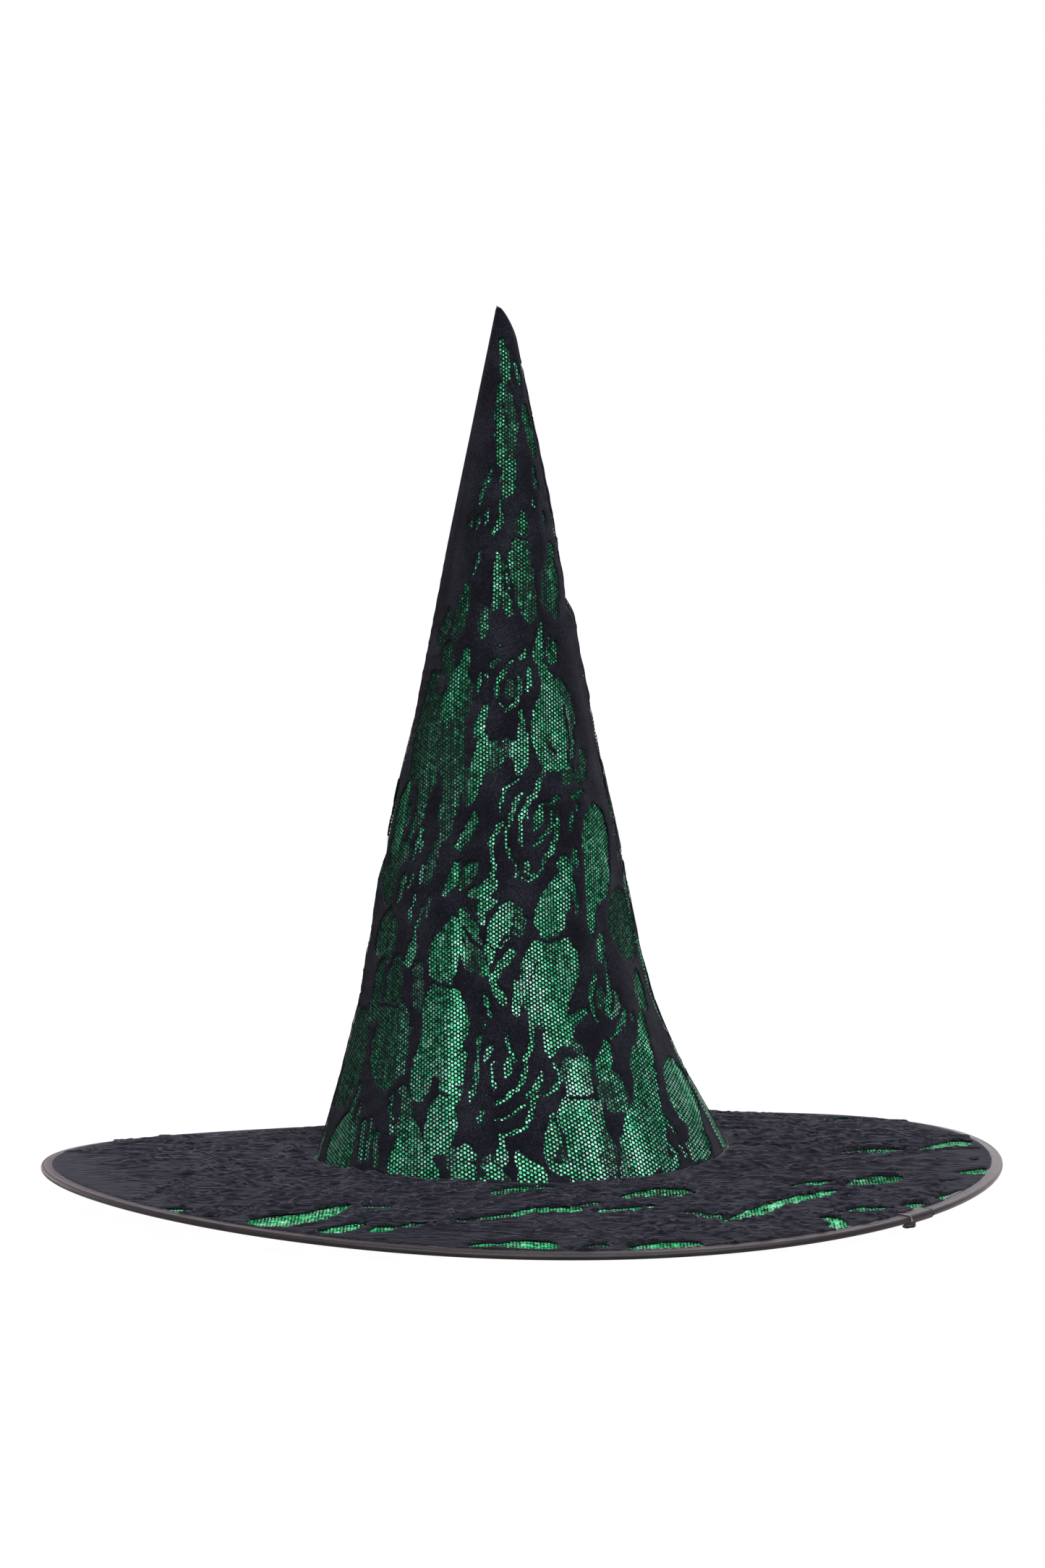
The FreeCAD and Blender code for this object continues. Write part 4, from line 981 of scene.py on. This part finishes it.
# ---------------------------------------------------------------- brim pattern
# The clearest windows of the brim's lace. Each point is millimetres right of the middle,
# millimetres behind it, and half the width.
BRIM_WINDOWS = [
    [(-106, -174, 9.5), (-99, -171, 11), (-91, -168, 8.5), (-84, -158, 6.5), (-77, -147, 4.5),
     (-72, -143, 2)],
    [(-152, -153, 3), (-147, -153, 5), (-142, -154, 2.5)],
    [(-82, -190, 4), (-76, -187, 5.5), (-69, -181, 4)],
    [(-62, -189, 2.5), (-58, -186, 4), (-54, -183, 2.5)],
    [(-51, -182, 1.8), (-45, -178, 3), (-38, -173, 2)], [(-70, -205, 0.8), (-64, -206, 0.8)],
    [(-60, -203, 0.8), (-56, -204, 0.8)], [(-133, -165, 2), (-129, -166, 2)],
    [(-5, -206, 5.5), (2, -205, 7.5), (9, -206, 7)],
    [(-20, -209, 2.5), (-15, -207, 3.5), (-11, -204, 2.2)],
    [(0, -150, 4), (10, -146, 6), (20, -145, 6), (26, -143, 2)],
    [(32, -147, 2), (40, -142, 4), (48, -138, 4), (55, -134, 2.5)],
    [(47, -207, 3), (56, -203, 5.5), (65, -200, 6), (72, -198, 4)], [(19, -211, 1.2), (21, -211, 1.2)],
    [(86, -158, 1.5), (94, -149, 3.5), (102, -140, 5), (110, -128, 4.5), (119, -118, 5),
     (128, -109, 4.5), (134, -102, 3.5), (138, -98, 1.5)],
    [(118, -94, 2), (124, -89, 3.5), (131, -85, 3.5), (138, -81, 2)],
    [(184, -2, 3), (192, 6, 6), (202, 20, 7), (207, 30, 4)],
    [(197, -56, 3), (204, -52, 5), (208, -46, 3)], [(186, -76, 1), (194, -72, 1.2)],
    [(183, -108, 3), (188, -103, 4), (193, -95, 2)], [(168, -124, 4), (172, -121, 4)],
    [(142, -136, 3), (148, -132, 5), (154, -130, 3), (160, -128, 2)],
    [(131, -150, 5), (134, -157, 4), (135, -164, 5)], [(205, -26, 1.2), (208, -22, 1)],
    [(150, 92, 5), (155, 104, 7), (159, 116, 5)], [(-108, 186, 5), (-100, 180, 5)],
]
# The windows of the brim that show only dimly.
BRIM_DIM_WINDOWS = [
    [(-124, -147, 3), (-114, -147, 3)], [(28, -207, 3), (33, -205, 4)], [(72, -145, 4), (82, -150, 5)],
    [(148, -84, 5), (158, -76, 8), (166, -71, 4)], [(148, -18, 3), (160, -12, 7), (172, -6, 5)],
    [(97, 100, 4), (104, 112, 6), (110, 124, 4)], [(-28, -166, 2.5), (-16, -161, 4.5), (-4, -156, 4)],
    [(-10, -116, 4), (-2, -110, 6), (6, -105, 5), (14, -103, 3)],
    [(46, -118, 4), (58, -111, 7), (70, -109, 6)], [(-66, -145, 2.5), (-58, -142, 2.5)],
    [(24, -136, 3), (32, -133, 3)],
]
BRIM_REPEATS = 5
BRIM_START = math.radians(-126)
BACK_REPEAT = 3                 # behind the crown, where the lace is open; the others are solid
REPEAT_HIGHEST = 112            # how much of the crown's pattern, in millimetres, the brim takes


def on_brim(points, step):
    """Flat places of a line of the crown's pattern, spread outwards over the brim."""
    places = []
    for angle, height, width in points:
        spot = max(height, 0)
        distance = 103 + spot if step % 2 == 0 else 211 - spot
        around = math.radians(angle) * float(crown_radius(spot * MM)) / MM / distance
        theta = BRIM_START + step * 2 * math.pi / BRIM_REPEATS + around
        places.append((distance * math.cos(theta), distance * math.sin(theta), width))
    return places


def brim_lace_pattern(cell):
    reach = RIM_RADIUS / MM
    lace = Lace((-reach, -reach), (reach, reach), cell, 53)
    for step in range(BRIM_REPEATS):
        for points in HALF_WINDOWS + OPEN_WINDOWS:
            if points[0][1] >= REPEAT_HIGHEST:
                continue
            if step == BACK_REPEAT:
                lace.opening(on_brim(points, step), half=points in HALF_WINDOWS)
            else:
                lace.emboss(on_brim(points, step), outline=True)
        for points in PETAL_LINES:
            if points[0][1] < REPEAT_HIGHEST:
                lace.emboss(on_brim(points, step))
    for points in BRIM_DIM_WINDOWS:
        lace.opening(points, half=True)
    for points in BRIM_WINDOWS:
        lace.opening(points)
    radius = np.hypot(lace.x, lace.y)
    region = np.minimum(radius - SEAM_RADIUS / MM - 0.3, (WIRE_RING - 0.0035) / MM - radius)
    lace.dense = np.minimum(lace.dense, region)
    lace.half = np.minimum(lace.half, region)
    return lace


def brim_uv(points):
    return points * MM + np.array([0.25, 0.25])


def lay_on_brim(name, lace, field, material, lift, embossed):
    points, values, ridges, faces = fill_region(lace, field)
    theta = np.arctan2(points[:, 1], points[:, 0])
    raised = relief(values, ridges, BRIM_RELIEF) if embossed else 0.0
    places = brim_point(theta, np.hypot(points[:, 0], points[:, 1]) * MM, lift + raised)
    return add_mesh(name, places, faces, material, brim_uv(points))


def brim_sheet(name, material, lift, columns=360, rows=64, creased=1.0, flip=False):
    theta = np.linspace(0, 2 * math.pi, columns, endpoint=False)
    radius = np.linspace(SEAM_RADIUS + 0.0002, WIRE_RING - 0.003, rows)
    grid_theta, grid_radius = np.meshgrid(theta, radius, indexing="ij")
    places = brim_point(grid_theta, grid_radius, lift, creased)
    uv = places[..., :2].reshape(-1, 2) + 0.25
    return add_mesh(name, places, grid_faces(columns, rows, wrap_rows=True, flip=not flip), material, uv)


# --------------------------------------------------------------------- pieces
def make_crown():
    lace = crown_lace_pattern(CROWN_CELL)
    net = crown_sheet("crown_net", OPEN_NET, NET_DEPTH)
    half = lay_on_crown("crown_half_net", lace, lace.half, HALF_NET, NET_DEPTH - 0.12 * MM, False)
    motifs = lay_on_crown("crown_lace_motifs", lace, lace.dense, DENSE_LACE, NET_DEPTH - 0.02 * MM, True)
    for piece in (net, half, motifs):
        dress(piece, ["crown_lace"])
    satin = crown_sheet("crown_satin_cone", GREEN_SATIN, SATIN_DEPTH, 380, CROWN_HEIGHT - 1.5 * MM, 1.0)
    dress(satin, ["crown_satin"])
    return net, half, motifs, satin


def make_brim():
    lace = brim_lace_pattern(BRIM_CELL)
    net = brim_sheet("brim_net", BRIM_NET, NET_LIFT)
    half = lay_on_brim("brim_thick_net", lace, lace.half, BRIM_THICK_NET, HALF_NET_LIFT, False)
    motifs = lay_on_brim("brim_lace_motifs", lace, lace.dense, BRIM_LACE, LACE_LIFT, True)
    for piece in (net, half, motifs):
        dress(piece, ["brim_lace"])
    satin = brim_sheet("brim_satin_ring", BRIM_SATIN_PAINTED_LIGHTER, SATIN_LIFT)
    dress(satin, ["brim_satin"])
    return net, half, motifs, satin


def sweep_rim(name, section, material, start=0.0, span=2 * math.pi, steps=540, wander=0.0):
    """Carry a closed section, as outward and upward millimetres, round the bent rim.

    wander is how far the ends of a folded strip's legs stray, in metres.
    """
    section = np.array(section) * MM
    whole = abs(span - 2 * math.pi) < 1e-6
    theta = start + np.linspace(0, span, steps, endpoint=not whole)
    origin, outward, upward = rim_frame(theta)
    pucker = wander * waves(theta, theta * 0, 31, 10, (30, 90), (1, 2))
    drift = 0.6 * wander * waves(theta, theta * 0, 32, 8, (5, 16), (1, 2))
    inward = np.clip(-section[:, 0] / (BINDING_LEG * 0.5), 0, 1)
    out = section[None, :, 0] + inward[None, :] * (pucker + drift)[:, None]
    swell = 0.25 * inward[None, :] * np.sign(section[:, 1])[None, :]
    up = section[None, :, 1] + swell * np.abs(pucker)[:, None]
    places = origin[:, None] + outward[:, None] * out[..., None] + upward[:, None] * up[..., None]
    count = len(section)
    faces = grid_faces(steps, count, wrap_rows=whole, wrap_columns=True, flip=True)
    if not whole:
        faces += end_caps(steps, count)
    around = np.concatenate([[0], np.cumsum(np.linalg.norm(np.diff(section, axis=0), axis=1))])
    uv = np.stack(np.broadcast_arrays(theta[:, None] * WIRE_RING, around[None, :]), axis=-1)
    return add_mesh(name, places, faces, material, uv.reshape(-1, 2))


def fold_section(outer, wall, leg):
    """The strip folded round the wire: outside from the upper leg round to the lower, and back."""
    inner = outer - wall

    def face(height, stretch):
        """One face of the strip, height from the wire's middle; the legs are pinched at the wire."""
        points = [(-leg * share, height - (0.18 if share < 0.4 else 0.0))
                  for share in (1.0, 0.85, 0.68, 0.5, 0.36)]
        turns = np.radians(np.linspace(108, -108, 15))
        bend = [(height * math.cos(turn), height * math.sin(turn) * stretch) for turn in turns]
        return points + bend + [(x, -y) for x, y in reversed(points)]

    rolled_start, rolled_end = [(-leg - 0.15, side * (outer + inner) / 2) for side in (1, -1)]
    return [rolled_start] + face(outer, 1.03) + [rolled_end] + face(inner, 1.0)[::-1]


def round_section(radius):
    turns = np.linspace(0, 2 * math.pi, 10, endpoint=False)
    return [(radius * math.cos(turn), radius * math.sin(turn)) for turn in turns]


def make_edge():
    edge, leg = EDGE / MM, BINDING_LEG / MM
    binding = sweep_rim("binding_strip", fold_section(edge, 0.35, leg), BINDING, wander=0.35 * MM)
    dress(binding, ["brim_binding"])
    lap = sweep_rim("binding_lap_fold", fold_section(edge + 0.55, 0.5, leg + 0.4), BINDING,
                    LAP_ANGLE, LAP_SPAN, 14)
    dress(lap, ["binding_lap"])
    joint = LAP_ANGLE + math.pi     # where the wire's two ends meet
    wire = sweep_rim("rim_wire", round_section(WIRE_RADIUS / MM), STEEL, joint + 0.003,
                     2 * math.pi - 0.006, 400)
    dress(wire, ["brim_wire"])
    joiner = sweep_rim("rim_wire_joiner", round_section(WIRE_RADIUS / MM + 0.3), BRASS,
                       joint - 0.045, 0.09, 16)
    dress(joiner, ["wire_joiner"])
    return binding, lap


def make_tail():
    """The strip's raw end: a small dark curl of cloth under the lap."""
    steps, sides = 9, 12
    origin, outward, upward = rim_frame(np.array([LAP_ANGLE]))
    origin, outward, upward = origin[0], outward[0], upward[0]
    along = np.cross(upward, outward)
    places = []
    for k in range(steps):
        share = k / (steps - 1)
        thick = 1.5 * math.sin(math.pi * (0.12 + 0.8 * share)) * MM
        centre = origin + along * (-4.2 + 8.0 * share) * MM
        centre = centre + outward * (1.0 + 0.7 * math.sin(3 * share)) * MM
        centre = centre + upward * (-2.3 + 1.0 * share ** 2) * MM
        for j in range(sides):
            turn = 2 * math.pi * j / sides
            dent = 1 + 0.18 * math.sin(3 * turn + 5 * share)
            places.append(centre + outward * thick * 1.3 * dent * math.cos(turn)
                          + upward * thick * 0.8 * dent * math.sin(turn))
    faces = grid_faces(steps, sides, wrap_columns=True, flip=True) + end_caps(steps, sides)
    places = np.array(places)
    places[:, 2] = np.maximum(places[:, 2], 0.4 * MM)   # the curl stays off the floor
    piece = add_mesh("binding_raw_end", places, faces, TAIL, places[:, :2])
    return dress(piece, ["binding_tail"])


def stitch_mesh(name, stitches, radius, nodes):
    """Short rounded stitches, each with its start, its end and the way its loop rises."""
    rings = ((0.0, 0.35), (0.12, 0.85), (0.35, 1.0), (0.65, 1.0), (0.88, 0.85), (1.0, 0.35))
    sides = 6
    places, faces = [], []
    for start, end, up in stitches:
        run = end - start
        side = np.cross(run, up)
        side /= np.linalg.norm(side)
        base = len(places)
        for share, thick in rings:
            lift = 0.5 * radius * math.sin(math.pi * share)
            centre = start + run * share + up * lift
            for k in range(sides):
                turn = 2 * math.pi * k / sides
                places.append(centre + radius * thick * (side * math.cos(turn) + up * math.sin(turn)))
        stitch = grid_faces(len(rings), sides, wrap_columns=True)
        stitch += [face[::-1] for face in end_caps(len(rings), sides)]
        faces += [[base + number for number in face] for face in stitch]
    places = np.array(places)
    piece = add_mesh(name, places, faces, THREAD, places[:, :2])
    return dress(piece, nodes)


def binding_stitches():
    theta = np.linspace(0, 2 * math.pi, 380, endpoint=False)
    origin, outward, upward = rim_frame(theta)
    along = np.cross(upward, outward)
    stitches = []
    for k in range(len(theta)):
        place = origin[k] - outward[k] * 4.2 * MM + upward[k] * (EDGE + 0.12 * MM)
        stitches.append((place - along[k] * 1.25 * MM, place + along[k] * 1.25 * MM, upward[k]))
    return stitch_mesh("binding_stitches", stitches, 0.16 * MM, ["binding_thread"])


def ring_stitches(name, radius, height, nodes):
    """Stitches round a level ring that follows the crown's base."""
    count = 150
    stitches = []
    for k in range(count):
        ends = []
        for share in (0.1, 0.8):
            theta = 2 * math.pi * (k + share) / count
            ends.append(np.array([radius * math.cos(theta), radius * math.sin(theta),
                                  height + float(seam_rise(theta))]))
        middle = (ends[0] + ends[1]) / 2
        up = np.array([middle[0], middle[1], 0.0]) / np.hypot(middle[0], middle[1])
        stitches.append((ends[0], ends[1], up))
    return stitch_mesh(name, stitches, 0.2 * MM, nodes)


def ring_solid(name, outline, material, nodes):
    """A closed section, as radius and height, carried round the head opening."""
    steps = 240
    theta = np.linspace(0, 2 * math.pi, steps, endpoint=False)
    outline = np.array(outline)
    wobble = 0.25 * MM * waves(theta, theta * 0, 61, 8, (8, 30), (1, 2))
    radius = outline[None, :, 0] + wobble[:, None]
    height = outline[None, :, 1] + seam_rise(theta)[:, None]
    places = np.stack([radius * np.cos(theta)[:, None], radius * np.sin(theta)[:, None], height], axis=-1)
    around = np.concatenate([[0], np.cumsum(np.linalg.norm(np.diff(outline, axis=0), axis=1))])
    uv = np.stack(np.broadcast_arrays(theta[:, None] * SEAM_RADIUS, around[None, :]), axis=-1)
    piece = add_mesh(name, places, grid_faces(steps, len(outline), True, True), material, uv.reshape(-1, 2))
    return dress(piece, nodes)


def make_head_opening():
    inner, outer = tape_high[0] - 4.4 * MM, tape_high[0] - 0.1 * MM
    low, high = tape_low[2], tape_high[2]
    wall = 0.7 * MM
    under = high - 5.2 * MM
    tape = ring_solid("head_tape_fold", [
        (inner, high - 0.2 * MM), (inner + wall / 2, high), (inner + wall, high - 0.2 * MM),
        (inner + wall, low + 1.2 * wall), (outer - wall, low + 1.2 * wall), (outer - wall, under),
        (outer - wall / 2, under + 0.2 * MM), (outer, under), (outer, low + 0.5 * wall),
        (outer - 0.5 * wall, low), (inner + 0.5 * wall, low), (inner, low + 0.5 * wall)],
        TAPE, ["head_tape"])
    allowance = ring_solid("turned_allowance", [
        (inner + wall + 0.1 * MM, high - 0.6 * MM), (outer - wall - 0.1 * MM, high - 0.6 * MM),
        (outer - wall - 0.1 * MM, low + 1.4 * wall), (inner + wall + 0.1 * MM, low + 1.4 * wall)],
        LINING, ["join_allowance"])
    ring_stitches("join_stitches", outer - 0.2 * MM, under + 0.6 * MM, ["join_thread"])
    ring_stitches("head_tape_stitches", outer + 0.15 * MM, low + 2 * MM, ["head_tape_thread"])
    return tape, allowance


def closed_ply(name, first, second, nodes):
    """A stiff ply with two faces, given as grids of points, joined along both of its edges."""
    places = np.concatenate([first, second[:, ::-1]], axis=1)
    steps, count = places.shape[:2]
    around = np.arange(steps)[:, None] * 2 * math.pi * SEAM_RADIUS / steps
    across = np.arange(count)[None, :] * 0.003
    uv = np.stack(np.broadcast_arrays(around, across), axis=-1).reshape(-1, 2)
    piece = add_mesh(name, places, grid_faces(steps, count, True, True), STIFFENER, uv)
    return dress(piece, nodes)


def make_stiffeners():
    """The hidden plies."""
    theta = np.linspace(0, 2 * math.pi, 200, endpoint=False)
    share = np.linspace(0, 1, 130)
    around, height = np.meshgrid(theta, share * (CROWN_HEIGHT - 9 * MM), indexing="ij")
    outer = crown_point(around, height, STIFFENER_DEPTH)
    around, height = np.meshgrid(theta, share * (CROWN_HEIGHT - 13 * MM), indexing="ij")
    inner = crown_point(around, height, INSIDE_DEPTH)
    crown = closed_ply("crown_stiffener", outer, inner, ["crown_interlining"])
    around, radius = np.meshgrid(theta, np.linspace(SEAM_RADIUS + 0.2 * MM, WIRE_RING - 3 * MM, 16),
                                 indexing="ij")
    lower, upper = [brim_point(around, radius, lift, 0.0) for lift in STIFFENER_LIFTS]
    brim = closed_ply("brim_stiffener", lower, upper, ["brim_interlining"])
    under = brim_sheet("underside_cloth", LINING, UNDERSIDE_LIFT, 240, 40, 0.0, flip=True)
    dress(under, ["brim_underside"])
    return crown, brim, under


def make_side_seam():
    """The pressed-open allowance and its stitches, up the inside of the side seam."""
    heights = np.linspace(12 * MM, 0.29, 60)
    share = (heights - heights[0]) / (heights[-1] - heights[0])
    half_width = (10 - 7.5 * share) * MM
    columns = np.linspace(-1, 1, 9)
    sides = []
    for extra in (0.25 * MM, 1.0 * MM):
        radius = crown_radius(heights)[:, None]
        theta = SEAM_ANGLE + columns[None, :] * half_width[:, None] / radius
        groove = 0.4 * MM * hump(columns[None, :] * half_width[:, None], 0.0008)
        height = np.broadcast_to(heights[:, None], theta.shape)
        sides.append(crown_point(theta, height, INSIDE_DEPTH + extra - groove))
    section = np.concatenate([sides[0], sides[1][:, ::-1]], axis=1)
    steps, count = section.shape[:2]
    faces = grid_faces(steps, count, wrap_columns=True)
    faces += [face[::-1] for face in end_caps(steps, count)]
    places = section.reshape(-1, 3)
    strips = add_mesh("side_seam_allowance", places, faces, LINING, places[:, 1:])
    dress(strips, ["crown_side_seam"])
    inward = np.array([-math.cos(SEAM_ANGLE), -math.sin(SEAM_ANGLE), 0.0])
    stitches = []
    for k in range(92):
        start, end = [crown_point(SEAM_ANGLE, 14 * MM + (k + part) * 3 * MM, INSIDE_DEPTH + 1.05 * MM)
                      for part in (0.1, 0.8)]
        stitches.append((start, end, inward))
    stitch_mesh("side_seam_stitches", stitches, 0.2 * MM, ["crown_seam_thread"])
    return strips


def finish_tip_tack():
    for slot in bpy.data.objects["tip_tack"].material_slots:
        slot.material = THREAD


# --------------------------------------------------------------- camera, light
def make_camera():
    """A 100 mm lens, 2 m away, level with the middle of the hat and looking slightly down."""
    distance, pitch, aim = 2.0, math.radians(2.85), 0.1868
    data = bpy.data.cameras.new("camera")
    data.sensor_fit = "VERTICAL"
    data.sensor_height = 36
    data.lens = 100
    camera = bpy.data.objects.new("camera", data)
    camera.location = (0.0003, -distance * math.cos(pitch), aim + distance * math.sin(pitch))
    camera.rotation_euler = (math.radians(90) - pitch, 0, 0)
    bpy.context.scene.collection.objects.link(camera)
    bpy.context.scene.camera = camera


SKY = 0.24                      # how strongly the white surroundings light the hat


def sun(name, azimuth, elevation, strength, softness):
    """A soft, even light; azimuth is in degrees right of the camera."""
    data = bpy.data.lights.new(name, "SUN")
    data.energy = strength
    data.angle = math.radians(softness)
    lamp = bpy.data.objects.new(name, data)
    lamp.rotation_euler = (math.radians(90 - elevation), 0, math.radians(azimuth))
    bpy.context.scene.collection.objects.link(lamp)


def glow(tree, target):
    """Light that is fully white to the camera and SKY as strong where it falls on the hat."""
    seen = tree.nodes.new("ShaderNodeLightPath").outputs["Is Camera Ray"]
    link(tree, math_node(tree, "MULTIPLY_ADD", seen, 1.0 - SKY, SKY), target)


def make_studio():
    world = bpy.data.worlds.new("studio")
    world.use_nodes = True
    tree = world.node_tree
    background = tree.nodes["Background"]
    background.inputs["Color"].default_value = (1, 1, 1, 1)
    glow(tree, background.inputs["Strength"])
    bpy.context.scene.world = world
    bpy.context.scene.view_settings.view_transform = "Standard"
    sun("key", 16, 48, 3.2, 24)
    sun("fill", -50, 50, 0.3, 60)
    sun("back", 165, 16, 0.7, 40)
    floor_material, tree, shader = new_material("studio_floor", (0.02, 0.02, 0.02), 1.0,
                                                Emission_Strength=1.0)
    glow(tree, shader.inputs["Emission Strength"])
    speckle = noise(tree, object_coordinates(tree), 40, 2)
    link(tree, ramp(tree, speckle, [(0.3, (0.98, 0.98, 0.98)), (0.7, (1, 1, 1))]),
         shader.inputs["Emission Color"])
    size = 60.0
    corners = [(-size, -size, 0), (size, -size, 0), (size, size, 0), (-size, size, 0)]
    floor = add_mesh("studio_floor", corners, [[0, 1, 2, 3]], floor_material)


make_camera()
make_studio()
crown_net, crown_half, crown_motifs, crown_satin = make_crown()
brim_net, brim_half, brim_motifs, brim_satin = make_brim()
binding, lap = make_edge()
tail = make_tail()
stitches = binding_stitches()
tape, allowance = make_head_opening()
crown_stiffener, brim_stiffener, underside = make_stiffeners()
seam_strips = make_side_seam()
finish_tip_tack()
